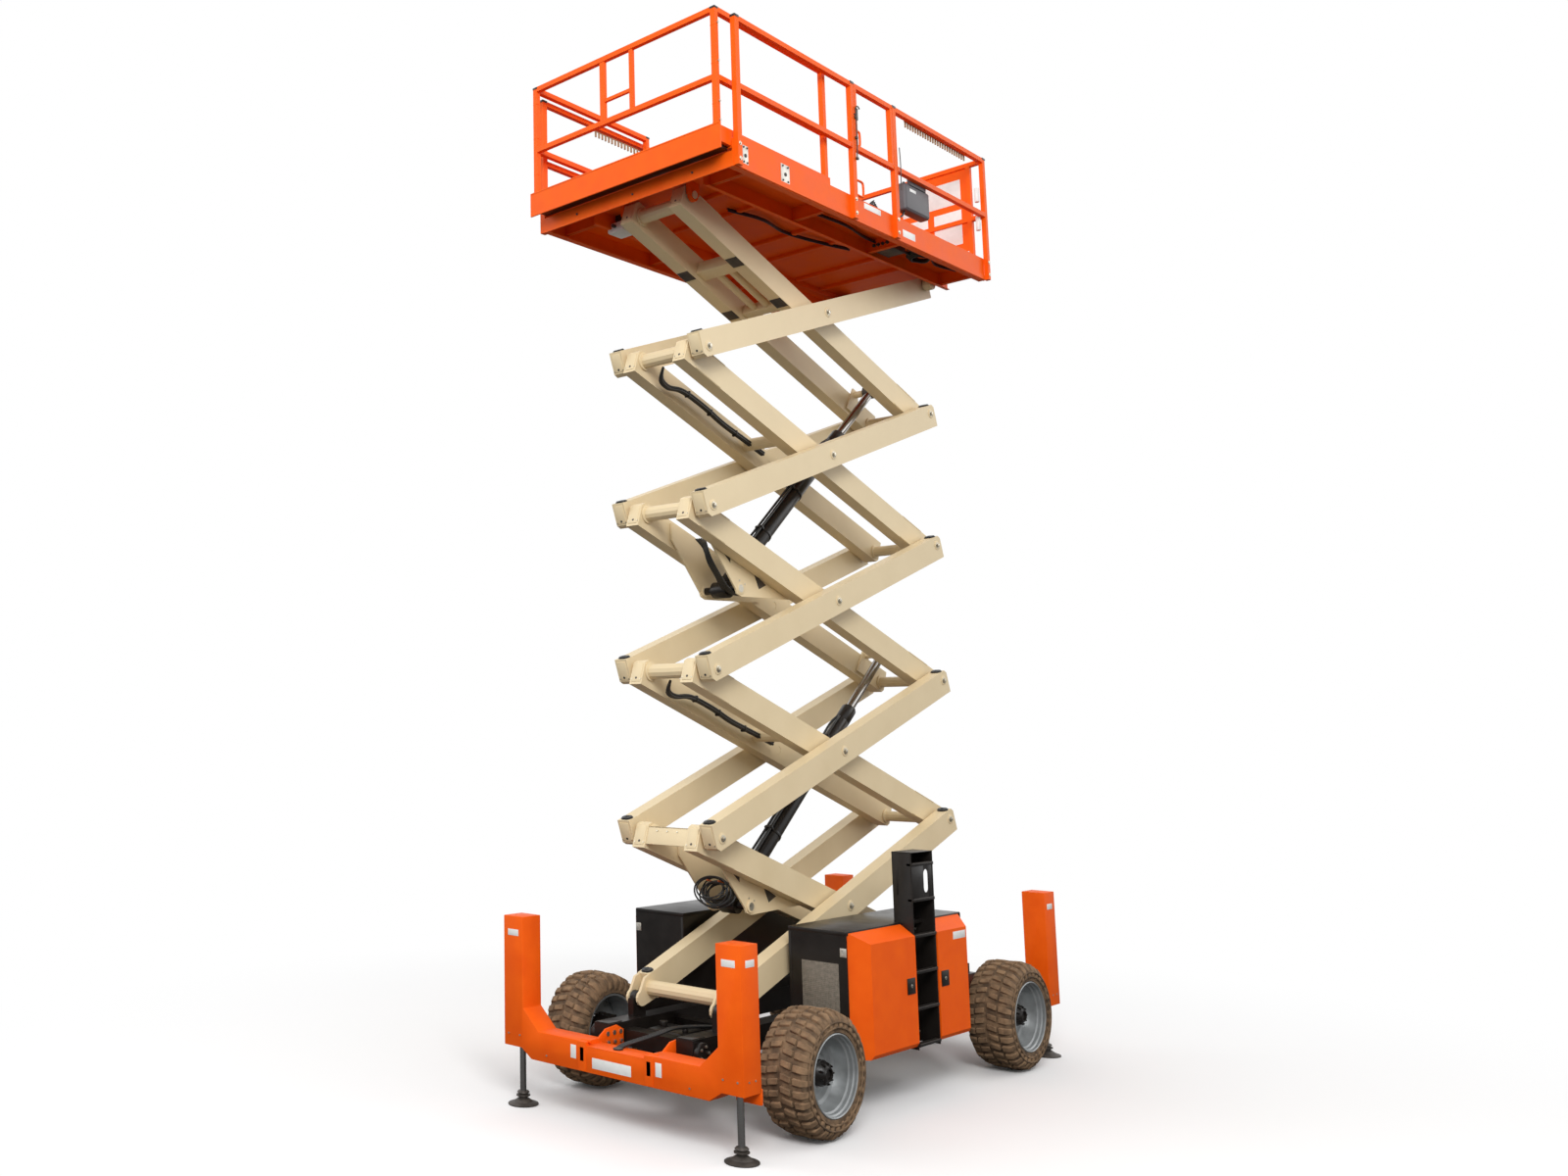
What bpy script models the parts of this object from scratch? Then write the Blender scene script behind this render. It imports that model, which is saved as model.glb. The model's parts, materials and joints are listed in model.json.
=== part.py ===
"""Rough-terrain scissor lift: four-wheel chassis with outrigger jacks, a five-level scissor
stack raised by two hydraulic cylinders, and a railed work platform with a sliding deck.

Metres, +Z up. The machine faces -Y, its left side is +X, and the origin is on the ground
below the middle of the machine.
"""
import math

import bmesh
import bpy
from mathutils import Matrix, Vector

# ---- driving dimensions --------------------------------------------------------------
GAP = 0.0003                 # clearance between pieces that touch
RUN = 0.0008                 # radial clearance of a pin in its bore
ROUND = 12                   # sides of pins and bores
WHEEL_SIDES = 20

# scissor stack
LEVELS = 5
ARM_LENGTH = 3.46            # from end pin to end pin
ARM_ANGLE = math.radians(19.9)
ARM_DEPTH = 0.20
ARM_WIDTH = 0.11
ARM_WALL = 0.008
ARM_CAP = 0.08               # arm beyond its end pin
ARM_SHIFT = 0.025            # end pin off the arm's centreline
ARM_CHAMFER = 0.03
OUTER_X = 0.313              # inner face of the outer arms
INNER_X = 0.177              # inner face of the inner arms
PIN_R = 0.03
SLEEVE_R = 0.055             # cross tubes of the arms
FRONT_Y = -1.55              # fixed pins
PIN_LIFT = 0.125             # lowest pins above the chassis rails
ROLLER_R = 0.055
ROLLER_W = 0.07

# lift cylinders, in the frame of the inner arm: along it from its centre, and up from it
BASE_ALONG, BASE_UP = -0.92, -0.28
EYE_ALONG, EYE_UP = 1.41, 0.13
BARREL_R = 0.062
BARREL_BORE_R = 0.047
ROD_R = 0.036
BARREL_LENGTH = 2.28
BARREL_PIN_HALF = 0.150
PLATE_IN, PLATE_OUT = 0.158, 0.172   # bracket plates inside the inner arms

# chassis
RAIL_IN, RAIL_OUT = 0.29, 0.43
RAIL_LIFT = 0.03             # rails above the wheels' axis
RAIL_DEPTH = 0.17
CHASSIS_HALF = 1.95
RAIL_REAR = 2.02
LUG_IN, LUG_OUT = 0.345, 0.392
FORK_PLATE = 0.020

# wheels
TYRE_R = 0.42
TYRE_WIDTH = 0.39
WHEEL_OUTER_X = 1.145
RIM_R = 0.27
FRONT_AXLE_Y = -1.34
REAR_AXLE_Y = 1.50
KINGPIN_X = 0.88
AXLE_DEPTH = 0.10            # axle beams below the rails
SPINDLE_R = 0.03
STEER_ARM = 0.15

# jack beams
BEAM_OUT_Y = 2.248
BEAM_DEPTH = 0.193
COLUMN_X = 0.94
COLUMN_WIDTH = 0.19
COLUMN_HEIGHT = 0.913
COLUMN_DROP = 0.035          # columns below the chassis rails
BEAM_LAP = 0.135             # beam's plates along the rails, from the rails' end
BEAM_WALL = 0.02
JACK_ROD_R = 0.0225
PAD_R = 0.11

# side enclosures
BAY_IN = 0.47
BAY_OUT = 0.88
BAY_FRONT, BAY_REAR = -0.85, 0.80
BAY_DROP, BAY_HEIGHT = 0.05, 0.87    # below the rails, and from floor to cover
BAY_WALL = 0.010
DOOR_OUT = 1.045
DOOR_WALL = 0.008
DOOR_LIFT = 0.01
LADDER_FRONT, LADDER_REAR = -0.10, 0.22
LADDER_OUT = 1.045
LADDER_HEIGHT = 1.395
LADDER_DROP = 0.015

# platform
DECK_HALF = 0.905
DECK_FRONT, DECK_REAR = -1.87, 1.86
SKIRT_DROP = 0.04            # skirt below the top pins
SKIRT_HEIGHT = 0.20
DECK_UNDER = 0.10            # deck plate above the top pins
DECK_PLATE = 0.012
SKIRT_WALL = 0.012
TUBE = 0.039                 # rail tubes
RAIL_HEIGHT = 0.965          # top of the rails above the deck
MID_RAIL = 0.46
GATE_FRONT, GATE_REAR = -0.285, 0.305
EXTENSION_FRONT = -2.02
EXTENSION_LENGTH = 1.44
EXTENSION_HALF = 0.865
EXTENSION_PLATE = 0.008

# ---- derived places ------------------------------------------------------------------
RAIL_BOTTOM = TYRE_R + RAIL_LIFT
RAIL_TOP = RAIL_BOTTOM + RAIL_DEPTH
BASE_Z = RAIL_TOP + PIN_LIFT
AXLE_BOTTOM = RAIL_BOTTOM - AXLE_DEPTH
COLUMN_BOTTOM = RAIL_BOTTOM - COLUMN_DROP
COLUMN_TOP = COLUMN_BOTTOM + COLUMN_HEIGHT
BAY_BOTTOM = RAIL_BOTTOM - BAY_DROP
BAY_TOP = BAY_BOTTOM + BAY_HEIGHT
DOOR_BOTTOM = BAY_BOTTOM + DOOR_LIFT
LADDER_BOTTOM = BAY_BOTTOM - LADDER_DROP
LADDER_TOP = LADDER_BOTTOM + LADDER_HEIGHT
RISE = ARM_LENGTH * math.sin(ARM_ANGLE)
SPAN = ARM_LENGTH * math.cos(ARM_ANGLE)
HALF = ARM_LENGTH / 2
TOP_Z = BASE_Z + LEVELS * RISE
BORE_R = (PIN_R + RUN) / math.cos(math.pi / ROUND)
DECK_Z = TOP_Z + DECK_UNDER + DECK_PLATE
WHEEL_Z = TYRE_R
WHEEL_INNER_X = WHEEL_OUTER_X - TYRE_WIDTH
SIDES = (("left", 1), ("right", -1))

ORANGE = (0.86, 0.17, 0.03), 0.45, 0.0
CREAM = (0.73, 0.60, 0.36), 0.50, 0.0
BLACK = (0.02, 0.02, 0.02), 0.50, 0.0
RUBBER = (0.10, 0.07, 0.045), 0.90, 0.0
SILVER = (0.62, 0.64, 0.66), 0.35, 0.6
CHROME = (0.75, 0.75, 0.75), 0.15, 1.0
STEEL = (0.22, 0.21, 0.20), 0.45, 0.8
GREY = (0.16, 0.15, 0.16), 0.55, 0.0


# ---- modelling helpers ---------------------------------------------------------------
def mesh_object(name, bm):
    bmesh.ops.recalc_face_normals(bm, faces=bm.faces)
    mesh = bpy.data.meshes.new(name)
    bm.to_mesh(mesh)
    bm.free()
    obj = bpy.data.objects.new(name, mesh)
    bpy.context.scene.collection.objects.link(obj)
    return obj


def box(x0, x1, y0, y1, z0, z1):
    """Block between two corners, in any order."""
    bm = bmesh.new()
    bmesh.ops.create_cube(bm, size=1)
    size = (abs(x1 - x0), abs(y1 - y0), abs(z1 - z0))
    centre = ((x0 + x1) / 2, (y0 + y1) / 2, (z0 + z1) / 2)
    bmesh.ops.scale(bm, vec=size, verts=bm.verts)
    bmesh.ops.translate(bm, vec=centre, verts=bm.verts)
    return mesh_object("block", bm)


def bar(start, end, radius, sides=ROUND):
    """Round bar between two points."""
    start, end = Vector(start), Vector(end)
    run = end - start
    bm = bmesh.new()
    bmesh.ops.create_cone(bm, cap_ends=True, segments=sides, radius1=radius, radius2=radius,
                          depth=run.length)
    turn = run.to_track_quat("Z", "Y").to_matrix().to_4x4()
    bmesh.ops.transform(bm, matrix=Matrix.Translation((start + end) / 2) @ turn, verts=bm.verts)
    return mesh_object("bar", bm)


def cross_bar(x0, x1, y, z, radius, sides=ROUND):
    return bar((x0, y, z), (x1, y, z), radius, sides)


def prism(points, axis, start, end):
    """Outline in the two other axes, pulled along one axis."""
    place = {"x": lambda a, b, c: (c, a, b), "y": lambda a, b, c: (a, c, b),
             "z": lambda a, b, c: (a, b, c)}[axis]
    bm = bmesh.new()
    low = [bm.verts.new(place(a, b, start)) for a, b in points]
    high = [bm.verts.new(place(a, b, end)) for a, b in points]
    bm.faces.new(low)
    bm.faces.new(high)
    count = len(points)
    for i in range(count):
        j = (i + 1) % count
        bm.faces.new((low[i], low[j], high[j], high[i]))
    return mesh_object("prism", bm)


def turned(profile, sides):
    """Closed ring of (x, radius) points, turned about the X axis."""
    bm = bmesh.new()
    rings = []
    for k in range(sides):
        turn = 2 * math.pi * k / sides
        rings.append([bm.verts.new((x, r * math.cos(turn), r * math.sin(turn)))
                      for x, r in profile])
    count = len(profile)
    for k in range(sides):
        here, there = rings[k], rings[(k + 1) % sides]
        for i in range(count):
            j = (i + 1) % count
            bm.faces.new((here[i], here[j], there[j], there[i]))
    return mesh_object("turned", bm)


def combine(base, others, operation):
    """Exact boolean of a solid with each of the others, which are used up."""
    for other in others:
        cut = base.modifiers.new(operation, "BOOLEAN")
        cut.operation = operation
        cut.solver = "EXACT"
        cut.object = other
    bpy.context.view_layer.update()
    shaped = bpy.data.meshes.new_from_object(base.evaluated_get(bpy.context.evaluated_depsgraph_get()))
    base.modifiers.clear()
    base.data = shaped
    for other in others:
        bpy.data.objects.remove(other)
    return base


def fuse(parts, cuts=()):
    base = parts[0]
    if len(parts) > 1:
        combine(base, parts[1:], "UNION")
    if cuts:
        combine(base, cuts, "DIFFERENCE")
    return base


def mirrored(obj):
    """The same solid on the other side of the centre plane."""
    twin = bpy.data.objects.new(obj.name, obj.data.copy())
    bpy.context.scene.collection.objects.link(twin)
    bm = bmesh.new()
    bm.from_mesh(twin.data)
    bmesh.ops.scale(bm, vec=(-1, 1, 1), verts=bm.verts)
    bmesh.ops.reverse_faces(bm, faces=bm.faces)
    bm.to_mesh(twin.data)
    bm.free()
    return twin


def both(obj):
    return [obj, mirrored(obj)]


def pair(x0, x1, *rest):
    return both(box(x0, x1, *rest))


def piece(name, obj, finish, origin=(0, 0, 0), turn=0.0, local=False):
    """Name a sub-part, paint it, and put its origin on its joint."""
    colour, rough, metal = finish
    paint = bpy.data.materials.new(name + "_finish")
    paint.use_nodes = True
    shader = paint.node_tree.nodes["Principled BSDF"]
    shader.inputs["Base Color"].default_value = (*colour, 1)
    shader.inputs["Roughness"].default_value = rough
    shader.inputs["Metallic"].default_value = metal
    obj.name = name
    obj.data.name = name
    obj.data.materials.clear()
    obj.data.materials.append(paint)
    if not local:
        obj.data.transform(Matrix.Translation(-Vector(origin)))
    obj.location = origin
    obj.rotation_euler.x = turn
    obj.data.shade_smooth()
    obj.data.set_sharp_from_angle(angle=math.radians(35))
    return obj


# ---- scissor stack -------------------------------------------------------------------
def arm_outline(sign, inset, front=-HALF - ARM_CAP):
    """Side view of one arm about its centre pin; sign is 1 where its front end is the low one."""
    half, low, high = ARM_DEPTH / 2 - inset, front + inset, HALF + ARM_CAP - inset
    cut = ARM_CHAMFER

    def middle(y):
        return -sign * ARM_SHIFT * y / HALF

    points = []
    corners = ((low, -half, 1, sign > 0), (high, -half, -1, sign < 0),
               (high, half, -1, sign > 0), (low, half, 1, sign < 0))
    for y, z, inward, chamfer in corners:
        up = 1 if z < 0 else -1
        if not chamfer:
            points.append((y, middle(y) + z))
            continue
        corner = [(y, middle(y) + z + up * cut), (y + inward * cut, middle(y) + z)]
        points.extend(corner if (y == low) == (z < 0) else corner[::-1])
    return points


def arm(sign, x_in, front=-HALF - ARM_CAP):
    """One hollow box-section arm."""
    solid = prism(arm_outline(sign, 0, front), "x", x_in, x_in + ARM_WIDTH)
    hollow = prism(arm_outline(sign, ARM_WALL, front), "x", x_in + ARM_WALL,
                   x_in + ARM_WIDTH - ARM_WALL)
    return solid, hollow


def outer_pair(level):
    """Left and right outer arms, whose front ends are low, with their pins."""
    wall = OUTER_X + ARM_WALL / 2
    tip = INNER_X + 0.002
    front = -HALF - ARM_CAP
    adds, cuts = [], []
    if level == 1:
        front = -HALF + 0.13
    solid, hollow = arm(1, OUTER_X, front)
    adds.append(solid)
    drain_z = ARM_SHIFT * abs(front) / HALF
    cuts += [hollow, bar((OUTER_X + ARM_WIDTH / 2, front - 0.02, drain_z),
                         (OUTER_X + ARM_WIDTH / 2, front + 0.02, drain_z), 0.012, 8)]
    adds.append(cross_bar(tip, wall, 0, 0, PIN_R))
    if level == 1:
        nose = [(-HALF + 0.055 * math.cos(a), 0.055 * math.sin(a))
                for a in (math.radians(k) for k in range(90, 300, 30))]
        cheek = nose + [(-HALF + 0.22, -0.072), (-HALF + 0.22, 0.115), (-HALF + 0.08, 0.122)]
        for x in (OUTER_X, OUTER_X + ARM_WIDTH - FORK_PLATE):
            adds.append(prism(cheek, "x", x, x + FORK_PLATE))
        adds.append(cross_bar(OUTER_X + FORK_PLATE / 2, OUTER_X + ARM_WIDTH - FORK_PLATE / 2,
                              -HALF, 0, PIN_R))
    if level == LEVELS:
        outside = OUTER_X + ARM_WIDTH
        adds.append(cross_bar(outside - ARM_WALL / 2, outside + 0.012 + ROLLER_W, HALF, 0, PIN_R))
        adds.append(cross_bar(outside + 0.008, outside + 0.008 + ROLLER_W, HALF, 0, ROLLER_R))
    else:
        adds.append(cross_bar(tip, wall, HALF, 0, PIN_R))
    side = fuse(adds, cuts)
    other = mirrored(side)
    if level == 1:
        joiner = cross_bar(-OUTER_X - FORK_PLATE / 2, OUTER_X + FORK_PLATE / 2,
                           -HALF + 0.11, 0.03, SLEEVE_R)
    else:
        joiner = cross_bar(-wall, wall, -HALF, 0, PIN_R)
    whole = fuse([side, joiner, other])
    whole.data.transform(Matrix.Translation((0, HALF, 0)))
    origin = (0, FRONT_Y, BASE_Z + (level - 1) * RISE)
    piece(f"outer_arms_{level}", whole, CREAM, origin, ARM_ANGLE, local=True)


def inner_pair(level):
    """Left and right inner arms, whose front ends are high, with cross tubes and brackets."""
    solid, hollow = arm(-1, INNER_X)
    outside = INNER_X + ARM_WIDTH
    adds, cuts = [solid], [hollow]
    through = (INNER_X - 0.02, outside + 0.02)
    cuts.append(cross_bar(*through, 0, 0, BORE_R))
    if level == LEVELS:
        adds.append(cross_bar(outside - ARM_WALL / 2, outside + 0.05, -HALF, 0, PIN_R))
    if level > 1:
        cuts.append(cross_bar(*through, HALF, 0, BORE_R))
    else:
        adds.append(cross_bar(outside - ARM_WALL / 2, outside + 0.012 + ROLLER_W, HALF, 0, PIN_R))
        adds.append(cross_bar(outside + 0.008, outside + 0.008 + ROLLER_W, HALF, 0, ROLLER_R))
    if level in (1, 3):
        adds.append(prism([(BASE_ALONG - 0.55, 0.05), (BASE_ALONG - 0.50, -0.07),
                           (BASE_ALONG - 0.055, BASE_UP - 0.03),
                           (BASE_ALONG - 0.03, BASE_UP - 0.055),
                           (BASE_ALONG + 0.03, BASE_UP - 0.055),
                           (BASE_ALONG + 0.70, -0.07), (BASE_ALONG + 0.70, 0.05)],
                          "x", PLATE_IN, PLATE_OUT))
        adds.append(box(PLATE_IN + 0.002, INNER_X + 0.003, BASE_ALONG - 0.48,
                        BASE_ALONG + 0.66, -0.05, 0.04))
    if level in (3, 5):
        adds.append(prism([(EYE_ALONG - 0.09, -0.05), (EYE_ALONG + 0.09, -0.05),
                           (EYE_ALONG + 0.045, EYE_UP + 0.045),
                           (EYE_ALONG - 0.045, EYE_UP + 0.045)], "x", PLATE_IN, PLATE_OUT))
        adds.append(box(PLATE_IN + 0.002, INNER_X + 0.003, EYE_ALONG - 0.07,
                        EYE_ALONG + 0.07, -0.04, 0.06))
    side = fuse(adds, cuts)
    other = mirrored(side)
    joiners = [cross_bar(-INNER_X - 0.001, INNER_X + 0.001, HALF, 0, 0.045)]
    if level < LEVELS:
        joiners.append(cross_bar(-INNER_X - ARM_WALL / 2, INNER_X + ARM_WALL / 2, -HALF, 0,
                                 SLEEVE_R))
    else:
        joiners.append(cross_bar(-INNER_X - ARM_WALL / 2, INNER_X + ARM_WALL / 2, -HALF + 0.02,
                                 -ARM_SHIFT, SLEEVE_R))
    if level in (2, 4):
        joiners.append(cross_bar(-INNER_X - ARM_WALL / 2, INNER_X + ARM_WALL / 2, -0.35, 0, 0.05))
    if level in (3, 5):
        joiners.append(cross_bar(-PLATE_IN - 0.004, PLATE_IN + 0.004, EYE_ALONG, EYE_UP,
                                 PIN_R))
    bore = []
    if level < LEVELS:
        bore.append(cross_bar(-outside - 0.02, outside + 0.02, -HALF, 0, BORE_R))
    whole = fuse([side, *joiners, other], bore)
    origin = (0, FRONT_Y + SPAN / 2, BASE_Z + (level - 0.5) * RISE)
    piece(f"inner_arms_{level}", whole, CREAM, origin, -ARM_ANGLE, local=True)


def arm_point(level, along, up):
    """World place of a point given in the frame of an inner arm."""
    c, s = math.cos(ARM_ANGLE), math.sin(ARM_ANGLE)
    return Vector((0, FRONT_Y + SPAN / 2 + along * c + up * s,
                   BASE_Z + (level - 0.5) * RISE - along * s + up * c))


def lift_cylinder(name, level):
    """Barrel and rod between the plates of one inner pair and the lugs two levels up."""
    base = arm_point(level, BASE_ALONG, BASE_UP)
    eye = arm_point(level + 2, EYE_ALONG, EYE_UP)
    way = (eye - base).normalized()
    barrel = fuse([bar(base + way * 0.0, base + way * BARREL_LENGTH, BARREL_R),
                   bar(base + Vector((-BARREL_PIN_HALF, 0, 0)),
                       base + Vector((BARREL_PIN_HALF, 0, 0)), PIN_R),
                   bar(base + Vector((-0.07, 0, 0)), base + Vector((0.07, 0, 0)), 0.065)],
                  [bar(base + way * 0.12, base + way * (BARREL_LENGTH + 0.1), BARREL_BORE_R)])
    piece(f"{name}_barrel", barrel, BLACK, base)
    rod_start = eye - way * 2.28
    rod = fuse([bar(rod_start, eye, ROD_R),
                bar(eye + Vector((-0.06, 0, 0)), eye + Vector((0.06, 0, 0)), 0.062)],
               [bar(eye + Vector((-0.1, 0, 0)), eye + Vector((0.1, 0, 0)), BORE_R)])
    piece(f"{name}_rod", rod, CHROME, eye)


# ---- chassis -------------------------------------------------------------------------
def chassis():
    """Two longitudinal rails with cross members, arm lugs and roller tracks."""
    track_z = BASE_Z - ROLLER_R - GAP
    lug = fuse([box(LUG_IN, LUG_OUT, FRONT_Y - 0.07, FRONT_Y + 0.07, RAIL_TOP - 0.01, BASE_Z),
                cross_bar(LUG_IN, LUG_OUT, FRONT_Y, BASE_Z, 0.05)],
               [cross_bar(LUG_IN - 0.02, LUG_OUT + 0.02, FRONT_Y, BASE_Z, BORE_R)])
    adds = pair(RAIL_IN, RAIL_OUT, -CHASSIS_HALF, RAIL_REAR, RAIL_BOTTOM, RAIL_TOP)
    adds += both(lug)
    adds += pair(RAIL_IN + 0.003, 0.37, 0.0, RAIL_REAR, RAIL_TOP - 0.01, track_z)
    for y0, y1 in ((-1.80, -1.68), (-1.20, -1.08), (1.20, 1.30), (1.68, 1.80)):
        adds.append(box(-RAIL_IN - 0.01, RAIL_IN + 0.01, y0, y1, RAIL_BOTTOM + 0.01,
                        RAIL_TOP - 0.05))
    for y in (-0.60, 0.55):
        adds += pair(RAIL_OUT - 0.01, BAY_IN - GAP, y - 0.06, y + 0.06, RAIL_BOTTOM + 0.02,
                     RAIL_TOP - 0.04)
    piece("chassis_frame", fuse(adds), BLACK)


def front_axle():
    """Beam under the rails with a yoke at each end for the steered knuckles."""
    ear_low, ear_high = WHEEL_Z - 0.11, WHEEL_Z + 0.11
    adds = [box(-0.80, 0.80, FRONT_AXLE_Y - 0.06, FRONT_AXLE_Y + 0.06, AXLE_BOTTOM,
                RAIL_BOTTOM - GAP)]
    cuts = []
    yoke_in = KINGPIN_X - 0.10
    adds += pair(yoke_in, yoke_in + 0.025, FRONT_AXLE_Y - 0.05, FRONT_AXLE_Y + 0.05,
                 ear_low, ear_high)
    for z0, z1 in ((ear_low, ear_low + 0.03), (ear_high - 0.03, ear_high)):
        adds += pair(yoke_in, KINGPIN_X + 0.036, FRONT_AXLE_Y - 0.045, FRONT_AXLE_Y + 0.045,
                     z0, z1)
    for x in (KINGPIN_X, -KINGPIN_X):
        cuts.append(bar((x, FRONT_AXLE_Y, ear_low - 0.02), (x, FRONT_AXLE_Y, ear_high + 0.02),
                        BORE_R))
    piece("front_axle", fuse(adds, cuts), BLACK)


def knuckle(side, sign):
    """Steered block with its kingpin, wheel spindle and steering arm."""
    half = 0.08 - GAP
    y, z = FRONT_AXLE_Y, WHEEL_Z
    adds = [box(KINGPIN_X - 0.035, KINGPIN_X + 0.06, y - 0.045, y + 0.045, z - half, z + half),
            bar((KINGPIN_X, y, z - 0.12), (KINGPIN_X, y, z + 0.12), PIN_R),
            cross_bar(KINGPIN_X + 0.05, 1.06, y, z, SPINDLE_R),
            box(KINGPIN_X - 0.02, KINGPIN_X + 0.02, y, y + STEER_ARM, z - 0.05, z - 0.03),
            bar((KINGPIN_X, y + STEER_ARM, z - 0.05), (KINGPIN_X, y + STEER_ARM, z - 0.03),
                0.026),
            bar((KINGPIN_X, y + STEER_ARM, z - 0.04), (KINGPIN_X, y + STEER_ARM, z + 0.02),
                0.012, 12)]
    solid = fuse(adds)
    if sign < 0:
        twin = mirrored(solid)
        bpy.data.objects.remove(solid)
        solid = twin
    piece(f"{side}_knuckle", solid, BLACK, (sign * KINGPIN_X, y, z))


def tie_rod():
    """Rod between the steering arms; it turns on the right arm's pin."""
    y, z = FRONT_AXLE_Y + STEER_ARM, WHEEL_Z
    adds = [cross_bar(-KINGPIN_X, KINGPIN_X, y, z, 0.013, 12)]
    cuts = []
    for x in (-KINGPIN_X, KINGPIN_X):
        adds.append(bar((x, y, z - 0.015), (x, y, z + 0.015), 0.024))
        cuts.append(bar((x, y, z - 0.05), (x, y, z + 0.05), 0.0135, 12))
    piece("tie_rod", fuse(adds, cuts), STEEL, (-KINGPIN_X, y, z))


def rear_axle():
    """Beam under the rails with drive housings and spindles."""
    y, z = REAR_AXLE_Y, WHEEL_Z
    adds = [box(-0.86, 0.86, y - 0.06, y + 0.06, AXLE_BOTTOM, RAIL_BOTTOM - GAP)]
    for sign in (1, -1):
        adds.append(cross_bar(sign * 0.80, sign * 0.93, y, z, 0.09))
        adds.append(cross_bar(sign * 0.92, sign * 1.06, y, z, SPINDLE_R))
    piece("rear_axle", fuse(adds), BLACK)


def wheel(name, sign, y):
    """Tyre and rim, whose spindle bore is on the wheel's axis."""
    out, inn = WHEEL_OUTER_X, WHEEL_INNER_X
    bead = RIM_R
    tyre = turned([(inn + 0.02, bead), (inn, bead + 0.06), (inn + 0.02, 0.38),
                   (inn + 0.08, TYRE_R), (out - 0.08, TYRE_R), (out - 0.02, 0.38),
                   (out, bead + 0.06), (out - 0.02, bead)], WHEEL_SIDES)
    edge = bead - GAP
    bore = (SPINDLE_R + RUN) / math.cos(math.pi / WHEEL_SIDES)
    rim = turned([(inn + 0.021, edge), (out - 0.021, edge), (out - 0.021, edge - 0.015),
                  (1.010, edge - 0.030), (1.000, 0.085), (1.072, 0.075), (1.075, bore),
                  (0.945, bore), (0.945, 0.080), (0.985, 0.095), (0.985, edge - 0.020),
                  (inn + 0.021, edge - 0.012)], WHEEL_SIDES)
    for kind, obj, finish in (("tyre", tyre, RUBBER), ("rim", rim, SILVER)):
        if sign < 0:
            twin = mirrored(obj)
            bpy.data.objects.remove(obj)
            obj = twin
        obj.data.transform(Matrix.Translation((0, y, WHEEL_Z)))
        piece(f"{name}_{kind}", obj, finish, (sign * KINGPIN_X, y, WHEEL_Z))


def jack_beam(name, end):
    """U-shaped outrigger beam with a hollow column at each side."""
    y0, y1 = end * BEAM_OUT_Y, end * (BEAM_OUT_Y - BEAM_DEPTH)
    inside, outside = COLUMN_X - COLUMN_WIDTH / 2, COLUMN_X + COLUMN_WIDTH / 2
    low, step = COLUMN_BOTTOM - 0.065, COLUMN_BOTTOM + 0.105
    shoulder, root = step + 0.03, step + 0.17
    half = [(0, low), (0.77, low), (inside + 0.02, COLUMN_BOTTOM), (outside, COLUMN_BOTTOM),
            (outside, COLUMN_TOP), (inside, COLUMN_TOP), (inside, root), (0.70, shoulder),
            (0.27, shoulder), (0.27, step), (0, step)]
    outline = half + [(-x, z) for x, z in reversed(half[1:-1])]
    adds = [prism(outline, "y", y0, y1)]
    rail_end = end * (CHASSIS_HALF - BEAM_LAP)
    adds += pair(RAIL_IN - GAP - 0.014, RAIL_IN - GAP, y1 + end * 0.02, rail_end,
                 RAIL_BOTTOM + 0.01, RAIL_BOTTOM + 0.09)
    adds += pair(outside - 0.19, outside, y1 + end * 0.01, y1 - end * 0.012, low - 0.01,
                 COLUMN_BOTTOM + 0.025)
    cuts = []
    w = BEAM_WALL
    for sign in (1, -1):
        cuts.append(box(sign * (inside + w), sign * (outside - w), y0 - end * w, y1 + end * w,
                        COLUMN_BOTTOM + w, COLUMN_TOP - w))
        y = end * (BEAM_OUT_Y - BEAM_DEPTH / 2)
        cuts.append(bar((sign * COLUMN_X, y, COLUMN_BOTTOM - 0.05),
                        (sign * COLUMN_X, y, COLUMN_BOTTOM + 0.05), JACK_ROD_R + 0.002))
    piece(name, fuse(adds, cuts), ORANGE)


def jack_leg(name, sign, end):
    """Sliding rod with its foot, and the guide block that runs in the column."""
    x, y = sign * COLUMN_X, end * (BEAM_OUT_Y - BEAM_DEPTH / 2)
    guide = COLUMN_WIDTH / 2 - BEAM_WALL - 0.004
    top = COLUMN_BOTTOM + 0.575
    leg = fuse([bar((x, y, 0.02), (x, y, top), JACK_ROD_R),
                bar((x, y, 0), (x, y, 0.016), PAD_R),
                bar((x, y, 0.010), (x, y, 0.042), 0.060),
                bar((x, y, 0.030), (x, y, 0.095), 0.036),
                box(x - guide, x + guide, y - guide, y + guide, top - 0.05, top)])
    piece(name, leg, STEEL, (x, y, top - 0.04))


# ---- side enclosures -----------------------------------------------------------------
def enclosure(side, sign):
    """Open-sided equipment bay: floor, end walls, inner wall, cover and centre post."""
    w = BAY_WALL
    body = fuse([box(BAY_IN, BAY_OUT, BAY_FRONT, BAY_REAR, BAY_BOTTOM, BAY_TOP)],
                [box(BAY_IN + w, BAY_OUT + 0.1, BAY_FRONT + w, BAY_REAR - w, BAY_BOTTOM + w,
                     BAY_TOP - w)])
    post = box(BAY_OUT - 0.03, BAY_OUT, LADDER_FRONT, LADDER_REAR, BAY_BOTTOM + w / 2,
               BAY_TOP - w / 2)
    ends = [box(BAY_OUT - 0.01, BAY_OUT + 0.055, y0, y1, BAY_BOTTOM + 0.02, BAY_TOP - 0.004)
            for y0, y1 in ((BAY_FRONT, BAY_FRONT + w), (BAY_REAR - w, BAY_REAR))]
    obj = fuse([body, post, *ends])
    if sign < 0:
        twin = mirrored(obj)
        bpy.data.objects.remove(obj)
        obj = twin
    piece(f"{side}_enclosure", obj, BLACK)


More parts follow.
